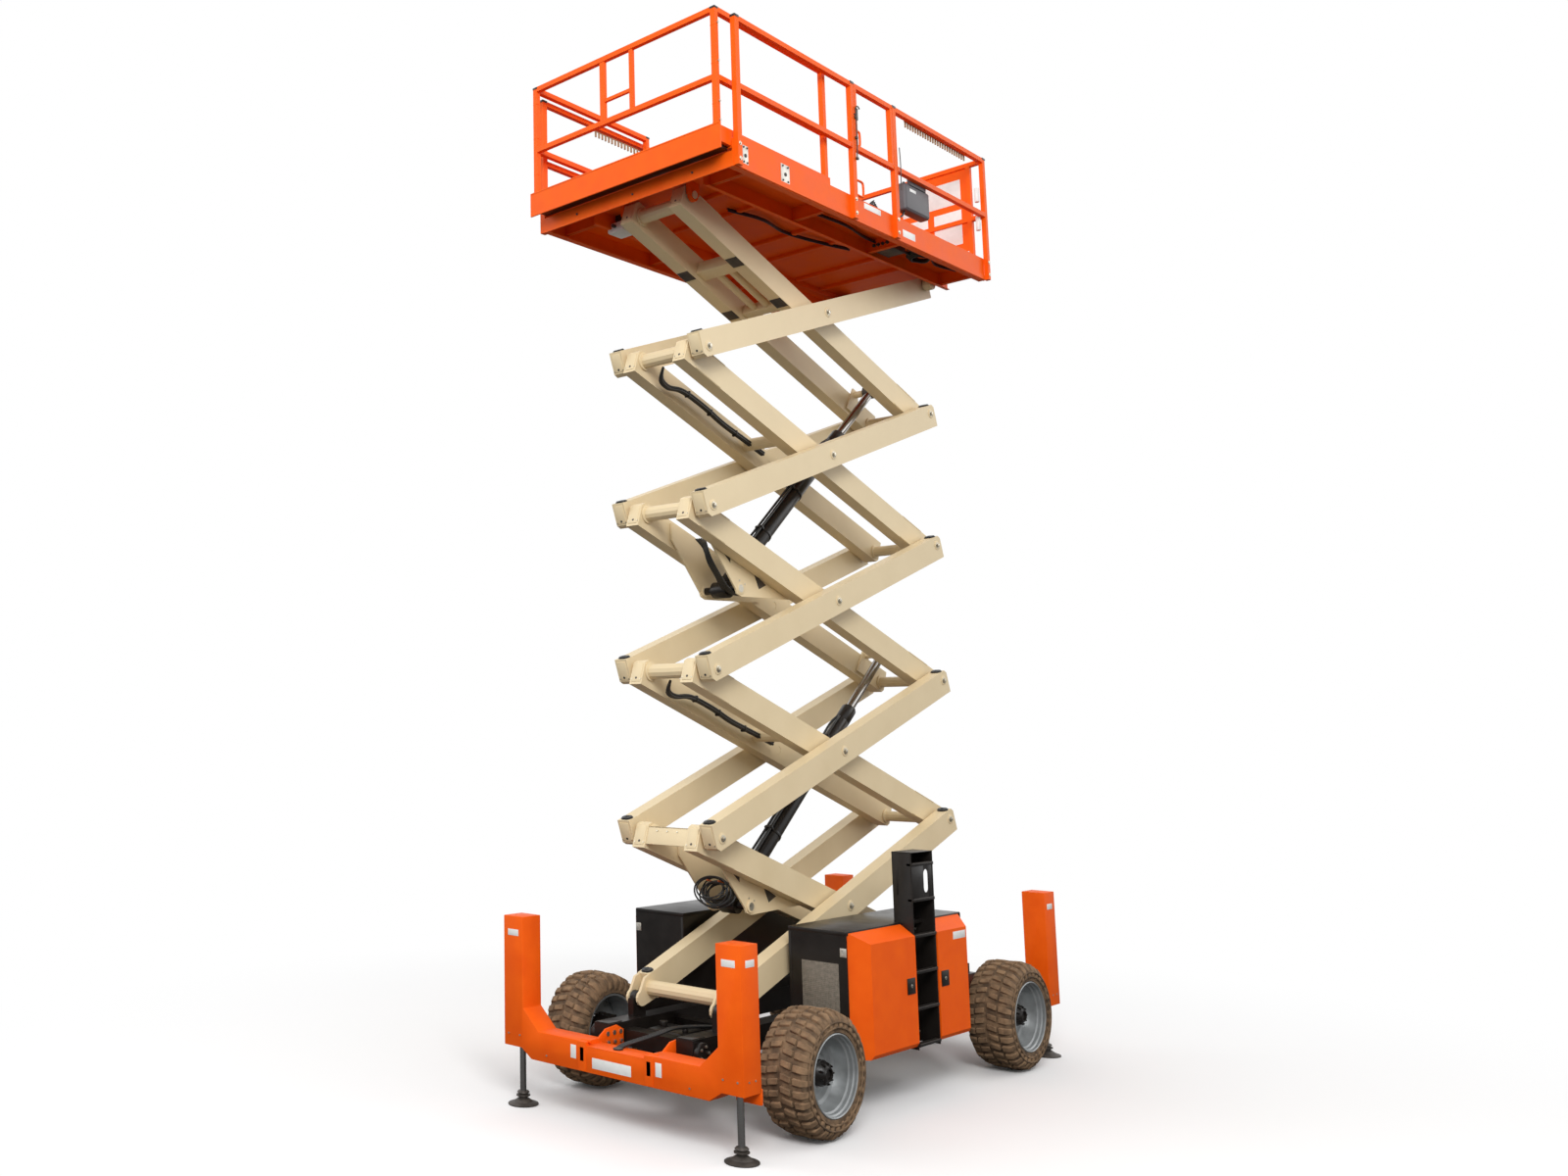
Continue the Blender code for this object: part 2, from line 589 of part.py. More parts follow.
def door(side, sign, name, hinge_y, free_y):
    """Pressed door with bevelled top and hinge edge, open to the inside."""
    way = 1 if free_y > hinge_y else -1
    w = DOOR_WALL
    x0, x1 = BAY_OUT + GAP, DOOR_OUT
    top, bottom = BAY_TOP - 0.008, DOOR_BOTTOM

    def shell(inset):
        profile = [(x0 - inset, bottom + inset), (x1 - 0.02 - inset / 2, bottom + inset),
                   (x1 - inset, bottom + 0.03 + inset), (x1 - inset, top - 0.075 - inset / 2),
                   (x1 - 0.115 - inset / 2, top - inset), (x0 - inset, top - inset)]
        start = hinge_y + way * inset
        stop = free_y - way * inset
        plan = [(x0 - 2 * inset, start), (x0 + 0.03, start), (x1 - inset, start + way * 0.12),
                (x1 - inset, stop), (x0 - 2 * inset, stop)]
        low, high = min(start, stop), max(start, stop)
        side_form = prism(profile, "y", low, high)
        return combine(side_form, [prism(plan, "z", bottom, top)], "INTERSECT")

    panel = combine(shell(0), [shell(w)], "DIFFERENCE")
    if sign < 0:
        twin = mirrored(panel)
        bpy.data.objects.remove(panel)
        panel = twin
    piece(name, panel, ORANGE, (sign * (BAY_OUT + 0.05), hinge_y, bottom))


def ladder(side, sign):
    """Channel ladder between the doors, with a hand opening at its top."""
    y0, y1 = LADDER_FRONT + 0.004, LADDER_REAR - 0.004
    x0, x1 = BAY_OUT + GAP, LADDER_OUT
    plate = 0.006
    adds = [box(x0, x0 + plate, y0, y1, LADDER_BOTTOM, LADDER_TOP),
            box(x0, x1 - 0.012, y0, y0 + plate, LADDER_BOTTOM, LADDER_TOP),
            box(x0, x1 - 0.012, y1 - plate, y1, LADDER_BOTTOM, LADDER_TOP),
            box(x0, x1 - 0.012, y0, y1, LADDER_TOP - plate, LADDER_TOP)]
    for k in range(6):
        z = LADDER_BOTTOM + 0.02 + 0.255 * k
        adds.append(box(x1 - 0.05, x1, y0, y1, z, z + 0.022))
    middle = (LADDER_FRONT + LADDER_REAR) / 2 - 0.02
    slot = fuse([box(x0 - 0.02, x0 + 0.02, middle - 0.055, middle + 0.055,
                     LADDER_TOP - 0.28, LADDER_TOP - 0.16)])
    obj = fuse(adds, [slot])
    if sign < 0:
        twin = mirrored(obj)
        bpy.data.objects.remove(obj)
        obj = twin
    piece(f"{side}_ladder", obj, BLACK)


# ---- platform ------------------------------------------------------------------------
def platform_deck():
    """Deck plate with its skirt, under-deck roller tracks and the lugs of the top arms."""
    z0 = TOP_Z - SKIRT_DROP
    z1 = z0 + SKIRT_HEIGHT
    under = TOP_Z + DECK_UNDER
    w = SKIRT_WALL
    adds = pair(DECK_HALF - w, DECK_HALF, DECK_FRONT, DECK_REAR, z0, z1)
    adds.append(box(-DECK_HALF, DECK_HALF, DECK_REAR - w, DECK_REAR, under, z1))
    adds.append(box(-DECK_HALF, DECK_HALF, DECK_FRONT, DECK_FRONT + w, z0, z0 + 0.115))
    adds.append(box(-DECK_HALF + w / 2, DECK_HALF - w / 2, DECK_FRONT + w / 2,
                    DECK_REAR - w / 2, under, DECK_Z))
    adds += pair(DECK_HALF - 0.05, DECK_HALF - w / 2, DECK_FRONT + w / 2, DECK_REAR - w / 2,
                 z0 + 0.001, z0 + 0.009)
    track = OUTER_X + ARM_WIDTH + 0.004
    adds += pair(track, track + 0.10, -0.15, 1.93, TOP_Z + ROLLER_R + GAP, under + 0.005)
    adds += pair(track + 0.092, track + 0.10, -1.70, 1.93, z0 + 0.02, under + 0.005)
    for y in (-1.62, -0.55, 0.55, 1.78):
        adds += pair(track + 0.095, DECK_HALF - w / 2, y - 0.004, y + 0.004, z0 + 0.03,
                     under + 0.005)
    lug_x = INNER_X + ARM_WIDTH + 0.012
    lug = fuse([box(lug_x, lug_x + 0.03, FRONT_Y - 0.06, FRONT_Y + 0.06, TOP_Z, under + 0.005),
                cross_bar(lug_x, lug_x + 0.03, FRONT_Y, TOP_Z, 0.05)],
               [cross_bar(lug_x - 0.02, lug_x + 0.05, FRONT_Y, TOP_Z, BORE_R)])
    adds += both(lug)
    piece("platform_deck", fuse(adds), ORANGE, (0, FRONT_Y, TOP_Z))


def tube_post(x0, x1, y, z0, z1, width=TUBE):
    return box(x0, x1, y - width / 2, y + width / 2, z0, z1)


def side_rails(side, sign):
    """Fixed guard rails of one side, bolted on the skirt; the left side has the gate's gap."""
    x0, x1 = DECK_HALF + GAP, DECK_HALF + GAP + TUBE
    foot = TOP_Z - SKIRT_DROP + 0.005
    top = DECK_Z + RAIL_HEIGHT
    mid = DECK_Z + MID_RAIL
    front, rear = DECK_FRONT + 0.03, DECK_REAR + GAP + TUBE / 2
    gaps = [GATE_FRONT - 0.025, GATE_REAR + 0.025] if sign > 0 else []
    ys = [front, *gaps, rear]
    width = 0.05
    adds = [tube_post(x0, x1, y, foot, top, width if y != rear else TUBE) for y in ys]
    spans = [(front, ys[1])] if sign < 0 else [(front, ys[1]), (ys[2], rear)]
    for a, b in spans:
        adds.append(box(x0, x1, a, b, top - TUBE, top))
        adds.append(box(x0, x1, a, b, mid - TUBE, mid))
    adds.append(box(x0, x0 + 0.008, front, rear, foot, foot + 0.04))
    obj = fuse(adds)
    if sign < 0:
        twin = mirrored(obj)
        bpy.data.objects.remove(obj)
        obj = twin
    piece(f"{side}_rails", obj, ORANGE)


def rear_rails():
    """Rails across the back with the document panel."""
    y0, y1 = DECK_REAR + GAP, DECK_REAR + GAP + TUBE
    x = DECK_HALF - 0.001
    top = DECK_Z + RAIL_HEIGHT
    mid = DECK_Z + MID_RAIL
    foot = TOP_Z + DECK_UNDER + 0.005 + GAP
    adds = [box(-x, x, y0, y1, top - TUBE, top), box(-x, x, y0, y1, mid - TUBE, mid),
            box(-x, x, y0, y0 + 0.008, foot, foot + 0.04)]
    for post in (-0.50, 0.08, 0.80):
        adds.append(box(post - TUBE / 2, post + TUBE / 2, y0, y1, foot, top))
    adds.append(box(0.08, 0.80, y0 + 0.015, y0 + 0.019, mid - 0.30, top - TUBE / 2))
    piece("rear_rails", fuse(adds), ORANGE)


def gate():
    """Entry gate on the left; it swings inwards on its rear edge."""
    x0, x1 = DECK_HALF + GAP, DECK_HALF + GAP + TUBE
    y0, y1 = GATE_FRONT + 0.006, GATE_REAR - 0.006
    top = DECK_Z + RAIL_HEIGHT
    mid = DECK_Z + MID_RAIL
    adds = [tube_post(x0, x1, y0 + 0.015, mid - TUBE, top, 0.03),
            tube_post(x0, x1, y1 - 0.015, mid - TUBE, top, 0.03),
            box(x0, x1, y0, y1, top - TUBE, top), box(x0, x1, y0, y1, mid - TUBE, mid)]
    piece("gate", fuse(adds), ORANGE, (x0, y1, mid))


def control_box():
    """Platform control box hung on the left mid rail."""
    z = DECK_Z + MID_RAIL
    x1 = DECK_HALF - GAP
    adds = [box(x1 - 0.10, x1 - 0.012, 0.55, 0.95, z - 0.29, z - 0.045),
            box(x1 - 0.03, x1, 0.62, 0.88, z - 0.07, z - 0.002)]
    piece("control_box", fuse(adds), GREY)


def extension_deck():
    """Sliding deck over the front of the main deck, with toe boards."""
    half = EXTENSION_HALF + 0.02
    z0 = DECK_Z + GAP
    front = EXTENSION_FRONT
    rear = front + EXTENSION_LENGTH
    w = EXTENSION_PLATE
    adds = [box(-half, half, front, rear, z0, z0 + w),
            box(-half - 0.02, half + 0.02, front, front + 0.012, z0 - 0.06, z0 + 0.13)]
    adds += pair(half - w, half, front + 0.005, rear, z0, z0 + 0.12)
    piece("extension_deck", fuse(adds), ORANGE, (0, front, z0))


def extension_rails():
    """Guard rails that slide with the extension deck."""
    x1 = EXTENSION_HALF + 0.02 - EXTENSION_PLATE - GAP
    x0 = x1 - TUBE
    foot = DECK_Z + GAP + EXTENSION_PLATE + GAP
    top = DECK_Z + RAIL_HEIGHT + 0.04
    mid = DECK_Z + MID_RAIL + 0.04
    front = EXTENSION_FRONT + 0.012 + GAP + TUBE / 2
    rear = EXTENSION_FRONT + EXTENSION_LENGTH - 0.03
    adds = []
    for y in (front, rear):
        adds += pair(x0, x1, y - TUBE / 2, y + TUBE / 2, foot, top)
    for z in (top, mid):
        adds += pair(x0, x1, front, rear, z - TUBE, z)
        adds.append(box(-x1, x1, front - TUBE / 2, front + TUBE / 2, z - TUBE, z))
    adds.append(box(-0.19, -0.145, front - 0.015, front + 0.015, mid - 0.01, top - 0.01))
    adds.append(box(0.095, 0.125, front - 0.015, front + 0.015, mid - 0.01, top - 0.01))
    adds.append(box(-0.16, 0.11, front - 0.012, front + 0.012, mid + 0.14, mid + 0.165))
    piece("extension_rails", fuse(adds), ORANGE, (0, front, foot))


# ---- the whole machine ---------------------------------------------------------------
def build():
    for obj in list(bpy.data.objects):
        bpy.data.objects.remove(obj)
    chassis()
    front_axle()
    rear_axle()
    tie_rod()
    for side, sign in SIDES:
        knuckle(side, sign)
        wheel(f"front_{side}", sign, FRONT_AXLE_Y)
        wheel(f"rear_{side}", sign, REAR_AXLE_Y)
        jack_leg(f"front_{side}_jack_leg", sign, -1)
        jack_leg(f"rear_{side}_jack_leg", sign, 1)
        enclosure(side, sign)
        door(side, sign, f"{side}_front_door", BAY_FRONT + BAY_WALL + 0.003, LADDER_FRONT - 0.004)
        door(side, sign, f"{side}_rear_door", BAY_REAR - BAY_WALL - 0.003, LADDER_REAR + 0.004)
        side_rails(side, sign)
    ladder("left", 1)
    jack_beam("front_jack_beam", -1)
    jack_beam("rear_jack_beam", 1)
    floor = BAY_BOTTOM + BAY_WALL + GAP
    piece("engine", box(-0.83, -0.55, -0.62, 0.12, floor, BAY_TOP - 0.17), STEEL)
    piece("hydraulic_tank", box(0.55, 0.80, -0.70, -0.15, floor, BAY_TOP - 0.22), STEEL)
    for level in range(1, LEVELS + 1):
        outer_pair(level)
        inner_pair(level)
    lift_cylinder("lower_cylinder", 1)
    lift_cylinder("upper_cylinder", 3)
    platform_deck()
    for side_piece in (rear_rails, gate, control_box, extension_deck, extension_rails):
        side_piece()


build()
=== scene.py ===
"""Looks of the rough terrain scissor lift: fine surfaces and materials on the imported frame."""
import json
import math

import bmesh
import bpy
from mathutils import Matrix, Vector


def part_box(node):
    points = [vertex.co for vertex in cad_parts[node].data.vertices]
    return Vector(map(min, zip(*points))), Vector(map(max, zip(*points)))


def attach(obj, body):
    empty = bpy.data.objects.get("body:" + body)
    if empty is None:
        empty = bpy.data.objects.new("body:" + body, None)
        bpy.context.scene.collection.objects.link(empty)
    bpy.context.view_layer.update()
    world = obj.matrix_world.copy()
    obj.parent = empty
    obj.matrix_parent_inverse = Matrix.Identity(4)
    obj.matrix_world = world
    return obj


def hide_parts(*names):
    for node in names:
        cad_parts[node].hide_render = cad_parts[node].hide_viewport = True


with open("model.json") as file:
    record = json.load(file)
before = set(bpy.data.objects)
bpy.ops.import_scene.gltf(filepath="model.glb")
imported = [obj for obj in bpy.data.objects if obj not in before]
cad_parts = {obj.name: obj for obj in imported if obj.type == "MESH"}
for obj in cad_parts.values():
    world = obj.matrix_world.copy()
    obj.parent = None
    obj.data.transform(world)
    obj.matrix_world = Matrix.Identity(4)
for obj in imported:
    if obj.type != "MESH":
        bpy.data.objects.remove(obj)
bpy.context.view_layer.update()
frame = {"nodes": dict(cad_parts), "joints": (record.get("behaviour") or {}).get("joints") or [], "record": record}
record = frame["record"]
nodes = frame["nodes"]
joints = {j["name"]: j for j in frame["joints"]}
scene = bpy.context.scene
SIDES = (("left", 1), ("right", -1))
ENDS = (("front", -1), ("rear", 1))


# ---- materials -----------------------------------------------------------------------
def add_node(tree, kind, inputs=None, **settings):
    """New shader node with its settings and the values of its inputs."""
    node = tree.nodes.new("ShaderNode" + kind)
    for key, value in settings.items():
        setattr(node, key, value)
    for key, value in (inputs or {}).items():
        node.inputs[key].default_value = value
    return node


def wire(tree, *links):
    for start, end in links:
        tree.links.new(start, end)


def shade(name, colour, rough=0.5, metal=0.0, dark=None, scale=6.0, grain=90.0, bump=0.15,
          spots=0.5, spread=0.25, shine=0.5, stretch=(1, 1, 1)):
    """Procedural finish: broad colour drift, fine grain in the bump, uneven gloss."""
    mat = bpy.data.materials.new(name)
    mat.use_nodes = True
    tree = mat.node_tree
    shader = tree.nodes["Principled BSDF"]
    shader.inputs["Metallic"].default_value = metal
    shader.inputs["Specular IOR Level"].default_value = shine
    place = add_node(tree, "TexCoord")
    mapping = add_node(tree, "Mapping", {"Scale": stretch})
    broad = add_node(tree, "TexNoise", {"Scale": scale, "Detail": 6})
    fine = add_node(tree, "TexNoise", {"Scale": grain, "Detail": 3})
    ramp = add_node(tree, "ValToRGB")
    dark = dark or tuple(c * 0.82 for c in colour)
    for stop, position, tone in zip(ramp.color_ramp.elements, (spots - spread, spots + spread),
                                    (dark, colour)):
        stop.position = position
        stop.color = (*tone, 1)
    gloss = add_node(tree, "MapRange", {"To Min": max(rough - 0.1, 0.04),
        "To Max": min(rough + 0.12, 1)})
    relief = add_node(tree, "Bump", {"Strength": bump, "Distance": 0.002})
    wire(tree, (place.outputs["Object"], mapping.inputs["Vector"]),
        (mapping.outputs["Vector"], broad.inputs["Vector"]),
        (mapping.outputs["Vector"], fine.inputs["Vector"]),
        (broad.outputs["Fac"], ramp.inputs["Fac"]), (ramp.outputs["Color"],
        shader.inputs["Base Color"]), (broad.outputs["Fac"], gloss.inputs["Value"]),
        (gloss.outputs["Result"], shader.inputs["Roughness"]),
        (fine.outputs["Fac"], relief.inputs["Height"]), (relief.outputs["Normal"],
        shader.inputs["Normal"]))
    return mat


ORANGE = shade("orange_paint", (0.96, 0.130, 0.004), 0.45, dark=(0.88, 0.102, 0.003), shine=0.15)
CREAM = shade("cream_paint", (0.8, 0.655, 0.42), 0.42, dark=(0.74, 0.595, 0.365), shine=0.35,
    scale=3)
BLACK = shade("black_paint", (0.015, 0.012, 0.01), 0.32, dark=(0.008, 0.006, 0.005), scale=9,
    shine=0.35)
RUBBER = shade("black_rubber", (0.016, 0.016, 0.016), 0.38, bump=0.2)
MUD = shade("muddy_lugs", (0.29, 0.18, 0.098), 0.92, dark=(0.14, 0.085, 0.046), scale=16, grain=70,
    bump=0.9, spread=0.16)
CARCASS = shade("muddy_carcass", (0.22, 0.138, 0.076), 0.95, dark=(0.075, 0.046, 0.026), scale=13,
    grain=60, bump=0.9, spread=0.14)
SILVER = shade("rim_silver", (0.36, 0.375, 0.38), 0.38, 0.45, dark=(0.25, 0.26, 0.26), scale=14)
CHROME = shade("chromed_rod", (0.4, 0.39, 0.38), 0.2, 1.0, dark=(0.3, 0.29, 0.28),
    stretch=(1, 1, 0.2))
STEEL = shade("worn_steel", (0.095, 0.080, 0.068), 0.5, 0.4, dark=(0.04, 0.033, 0.028), scale=20)
ZINC = shade("zinc_bolt", (0.62, 0.58, 0.48), 0.3, 0.9, dark=(0.45, 0.42, 0.35), scale=30)
GREY = shade("grey_plastic", (0.115, 0.11, 0.118), 0.5, scale=20, grain=300, bump=0.3)
LABEL = shade("blank_label", (0.86, 0.86, 0.84), 0.35, dark=(0.78, 0.78, 0.76), scale=25)
PLATE = shade("galvanized_plate", (0.66, 0.64, 0.58), 0.35, 0.6, dark=(0.5, 0.48, 0.43), scale=40)

GRILLE = shade("grille_mesh", (0.30, 0.26, 0.21), 0.5, 0.3, dark=(0.17, 0.15, 0.12), scale=40)
COMB = shade("comb_strip", (0.40, 0.25, 0.13), 0.45, 0.3, dark=(0.28, 0.17, 0.09), scale=30)
ORANGE_HOSE = shade("orange_tie", (0.75, 0.16, 0.03), 0.5)

KINDS = {"orange_paint": ORANGE, "cream_paint": CREAM, "black_paint": BLACK,
         "tyre_rubber": MUD, "rim_silver": SILVER, "chrome_rod": CHROME, "dark_steel": STEEL,
         "grey_plastic": GREY}
SLOT_OF = {material: slot for slot, material in KINDS.items()}
SLOT_OF.update({CARCASS: "tyre_rubber", GRILLE: "dark_steel", ORANGE_HOSE: "orange_paint"})
for part in record["subparts"]:
    data = nodes[part["node"]].data
    data.materials.clear()
    data.materials.append(KINDS[part["material_slot"]])
    nodes[part["node"]].data.set_sharp_from_angle(angle=math.radians(32))


# ---- shape kit -----------------------------------------------------------------------
class Shape:
    """Collects solids into one mesh piece that rides on a body."""

    def __init__(self, place=None):
        self.bm = bmesh.new()
        self.place = place

    def _add(self, other, matrix=None):
        if matrix is not None:
            bmesh.ops.transform(other, matrix=matrix, verts=other.verts)
        mesh = bpy.data.meshes.new("scratch")
        other.to_mesh(mesh)
        other.free()
        self.bm.from_mesh(mesh)
        bpy.data.meshes.remove(mesh)
        return self

    def block(self, low, high, bevel=0.002, segments=2):
        bm = bmesh.new()
        bmesh.ops.create_cube(bm, size=1)
        size = [abs(b - a) for a, b in zip(low, high)]
        bmesh.ops.scale(bm, vec=size, verts=bm.verts)
        bmesh.ops.translate(bm, vec=[(a + b) / 2 for a, b in zip(low, high)], verts=bm.verts)
        bevel = min(bevel, min(size) * 0.45)
        if bevel > 0:
            bmesh.ops.bevel(bm, geom=bm.edges[:], offset=bevel, segments=segments, profile=0.5,
                affect="EDGES")
        return self._add(bm, self.place)

    def bar(self, start, end, radius, sides=32, bevel=0.0, radius_end=None):
        start, end = Vector(start), Vector(end)
        run = end - start
        bm = bmesh.new()
        bmesh.ops.create_cone(bm, cap_ends=True, segments=sides, radius1=radius,
            radius2=radius if radius_end is None else radius_end, depth=run.length)
        if bevel:
            rims = [e for e in bm.edges if abs(e.verts[0].co.z - e.verts[1].co.z) < 1e-6]
            bmesh.ops.bevel(bm, geom=rims, offset=bevel, segments=2, profile=0.5, affect="EDGES")
        turn = run.to_track_quat("Z", "Y").to_matrix().to_4x4()
        bmesh.ops.transform(bm, matrix=Matrix.Translation((start + end) / 2) @ turn, verts=bm.verts)
        return self._add(bm, self.place)

    def rod(self, axis, start, end, radius, *rest, **more):
        """Bar along X, Y or Z that ends where that coordinate is end."""
        stop = list(start)
        stop["xyz".index(axis)] = end
        return self.bar(start, stop, radius, *rest, **more)

    def prism(self, points, axis, start, end, bevel=0.0):
        place = {"x": lambda a, b, c: (c, a, b), "y": lambda a, b, c: (a, c, b), "z": lambda a, b,
            c: (a, b, c)}[axis]
        bm = bmesh.new()
        low = [bm.verts.new(place(a, b, start)) for a, b in points]
        high = [bm.verts.new(place(a, b, end)) for a, b in points]
        bm.faces.new(low)
        bm.faces.new(high)
        for i in range(len(points)):
            j = (i + 1) % len(points)
            bm.faces.new((low[i], low[j], high[j], high[i]))
        bmesh.ops.recalc_face_normals(bm, faces=bm.faces)
        if bevel:
            bmesh.ops.bevel(bm, geom=bm.edges[:], offset=bevel, segments=2, profile=0.5,
                affect="EDGES")
        return self._add(bm, self.place)

    def turned(self, profile, centre, sides=64, side=1):
        """Closed (x, radius) outline turned about an axis along X."""
        bm = bmesh.new()
        rings = []
        for k in range(sides):
            a = 2 * math.pi * k / sides
            rings.append([bm.verts.new((side * x, r * math.cos(a), r * math.sin(a))) for x,
                r in profile])
        for k in range(sides):
            here, there = rings[k], rings[(k + 1) % sides]
            for i in range(len(profile)):
                j = (i + 1) % len(profile)
                bm.faces.new((here[i], here[j], there[j], there[i]))
        bmesh.ops.recalc_face_normals(bm, faces=bm.faces)
        return self._add(bm, Matrix.Translation(centre))

    def pipe(self, points, radius, sides=10):
        """Round hose along a smooth curve through the points."""
        way = [Vector(p) for p in points]
        path = []
        ends = [way[0] * 2 - way[1], *way, way[-1] * 2 - way[-2]]
        for i in range(1, len(ends) - 2):
            p0, p1, p2, p3 = ends[i - 1:i + 3]
            steps = max(3, min(10, int((p2 - p1).length / 0.03)))
            for k in range(steps):
                t = k / steps
                path.append(0.5 * (2 * p1 + (p2 - p0) * t + (2 * p0 - 5 * p1 + 4 * p2 - p3) * t * t
                    + (3 * p1 - p0 - 3 * p2 + p3) * t ** 3))
        path.append(way[-1])
        bm = bmesh.new()
        rings = []
        normal = (path[1] - path[0]).orthogonal().normalized()
        for i, p in enumerate(path):
            ahead = (path[min(i + 1, len(path) - 1)] - path[max(i - 1, 0)]).normalized()
            normal = (normal - ahead * normal.dot(ahead)).normalized()
            other = ahead.cross(normal)
            rings.append([bm.verts.new(p + radius * (normal * math.cos(a) + other * math.sin(a)))
                for a in (2 * math.pi * k / sides for k in range(sides))])
        for here, there in zip(rings, rings[1:]):
            for k in range(sides):
                m = (k + 1) % sides
                bm.faces.new((here[k], here[m], there[m], there[k]))
        bm.faces.new(rings[0][::-1])
        bm.faces.new(rings[-1])
        bmesh.ops.recalc_face_normals(bm, faces=bm.faces)
        return self._add(bm)

    def piece(self, name, material, body, replaces=(), angle=38, slotted=True):
        """Finished object on its body, in the given material; the slotted argument is not used."""
        mesh = bpy.data.meshes.new(name)
        self.bm.to_mesh(mesh)
        self.bm.free()
        mesh.materials.append(material)
        mesh.shade_smooth()
        mesh.set_sharp_from_angle(angle=math.radians(angle))
        obj = bpy.data.objects.new(name, mesh)
        scene.collection.objects.link(obj)
        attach(obj, body)
        if replaces:
            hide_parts(*replaces)
        return obj


def shapes(count, place=None):
    return [Shape(place) for _ in range(count)]


def centre_of(node):
    low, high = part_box(node)
    return (low + high) / 2


def arm_frame(level, kind):
    """Matrix of an arm pair: origin at its centre pin, +Y along it to the rear, +Z up."""
    middle = Vector(joints[f"inner_{level}_pivot"]["pos_m"])
    first = "lift" if level == 1 else f"outer_{level}_pivot"
    reach = middle - Vector(joints[first]["pos_m"])
    angle = math.atan2(reach.z, reach.y) * (1 if kind == "outer" else -1)
    return Matrix.Translation(middle) @ Matrix.Rotation(angle, 4, "X")


LEVELS = 5
HALF = (Vector(joints["inner_1_pivot"]["pos_m"]) - Vector(joints["lift"]["pos_m"])).length
OUTER_LOW, OUTER_HIGH = 0.313, 0.423        # the two faces of an outer arm
INNER_LOW, INNER_HIGH = 0.177, 0.287
CAP = 0.08                                  # arm beyond its end pin
DEPTH = 0.20                                # height of an arm's section
SHIFT = 0.025                               # end pins off the arm's middle line
BRACKET_Y, BRACKET_Z = -0.92, -0.28         # cylinder base pin, in its arm's frame
EYE_HALF = 0.055                            # half width of a rod eye
BARREL_LUG = 0.065                          # base pin above the barrel's lowest point
BEAM_DEPTH, BEAM_SET_BACK = 0.193, 0.004    # jack beam, front to back, and its bosses' lead
DOOR_X, LATCH_Z = 1.045, 0.846
LABEL_EDGE = 0.0002                         # rounding of a blank label
SKIRT_X = 0.905
TOP = Vector(joints["platform_pivot"]["pos_m"])
DECK = TOP.z + 0.112                        # top of the deck plate


# ---- wheels --------------------------------------------------------------------------
BEAD_RADIUS, RIM_RADIUS = 0.275, 0.2695
LUGS, LUG_DEPTH = 32, 0.030
TREAD_BASE = 0.022                          # lugs rise over the carcass by less than this


def tyre_lug(part, centre, mid, side, sign, turn, worn, radius, stations):
    """One tread block, drawn through (x, radius, lead, thickness) stations."""
    bm = bmesh.new()
    rings = []
    for x, r, lead, thick in stations:
        ring = []
        for d, w in ((0, -1), (0, 1), (-LUG_DEPTH, 1.25), (-LUG_DEPTH, -1.25)):
            a = turn + (lead + w * thick * 0.75) / radius
            inward = 1 - 0.10 * (d < 0) * (x > 0.15)
            ring.append(bm.verts.new((side * (mid + sign * x * inward),
                                      (r - worn + d) * math.cos(a), (r - worn + d) * math.sin(a))))
        rings.append(ring)
    for here, there in zip(rings, rings[1:]):
        for i in range(4):
            j = (i + 1) % 4
            bm.faces.new((here[i], here[j], there[j], there[i]))
    bm.faces.new(rings[0])
    bm.faces.new(rings[-1][::-1])
    bmesh.ops.recalc_face_normals(bm, faces=bm.faces)
    bmesh.ops.bevel(bm, geom=bm.edges[:], offset=0.004, segments=1, affect="EDGES")
    part._add(bm, Matrix.Translation(centre))


def tyre(name, side, middle):
    """Muddy off-road tyre: square carcass, staggered centre and shoulder lugs, bead rings."""
    low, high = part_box(f"{name}_tyre")
    inn, out = min(abs(low.x), abs(high.x)), max(abs(low.x), abs(high.x))
    mid, half, radius = (inn + out) / 2, (out - inn) / 2, (high.z - low.z) / 2
    base = radius - TREAD_BASE
    centre = (0, middle.y, middle.z)
    carcass, lugs = shapes(2)
    outline = []
    for a in (math.pi * k / 12 for k in range(13)):
        x = -half * math.cos(a)
        outline.append((mid + x * (0.90 + 0.10 * math.sin(a)),
                        BEAD_RADIUS + (base - BEAD_RADIUS) * math.sin(a) ** 0.30))
    outline += [(mid + half * 0.86, 0.2705), (mid - half * 0.86, 0.2705)]
    carcass.turned(outline, centre, 72, side)
    for r in (0.30, 0.335):
        carcass.turned([(mid + half * 0.93, r), (mid + half * 0.965, r + 0.004),
                        (mid + half * 0.965, r + 0.01), (mid + half * 0.93, r + 0.014)],
                       centre, 72, side)
    centre_lug = ((0.010, base + 0.018, 0.000, 0.026), (0.084, base + 0.019, 0.016, 0.026))
    shoulder_lug = ((0.098, base + 0.015, 0.022, 0.029), (0.15, base + 0.004, 0.028, 0.031),
                    (0.178, base - 0.034, 0.031, 0.031), (0.187, base - 0.08, 0.032, 0.024))
    for k in range(LUGS):
        for row, sign in ((0, -1), (1, 1)):
            turn = 2 * math.pi * (k + 0.5 * row + 0.04 * math.sin(5.1 * k + row)) / LUGS
            worn = 0.003 * (1 + math.sin(3.7 * k + 2 * row))
            for stations in (centre_lug, shoulder_lug):
                tyre_lug(lugs, centre, mid, side, sign, turn, worn, radius, stations)
    carcass.piece(f"{name}_tyre_carcass", CARCASS, f"{name}_wheel", (f"{name}_tyre",))
    lugs.piece(f"{name}_tyre_lugs", MUD, f"{name}_wheel")


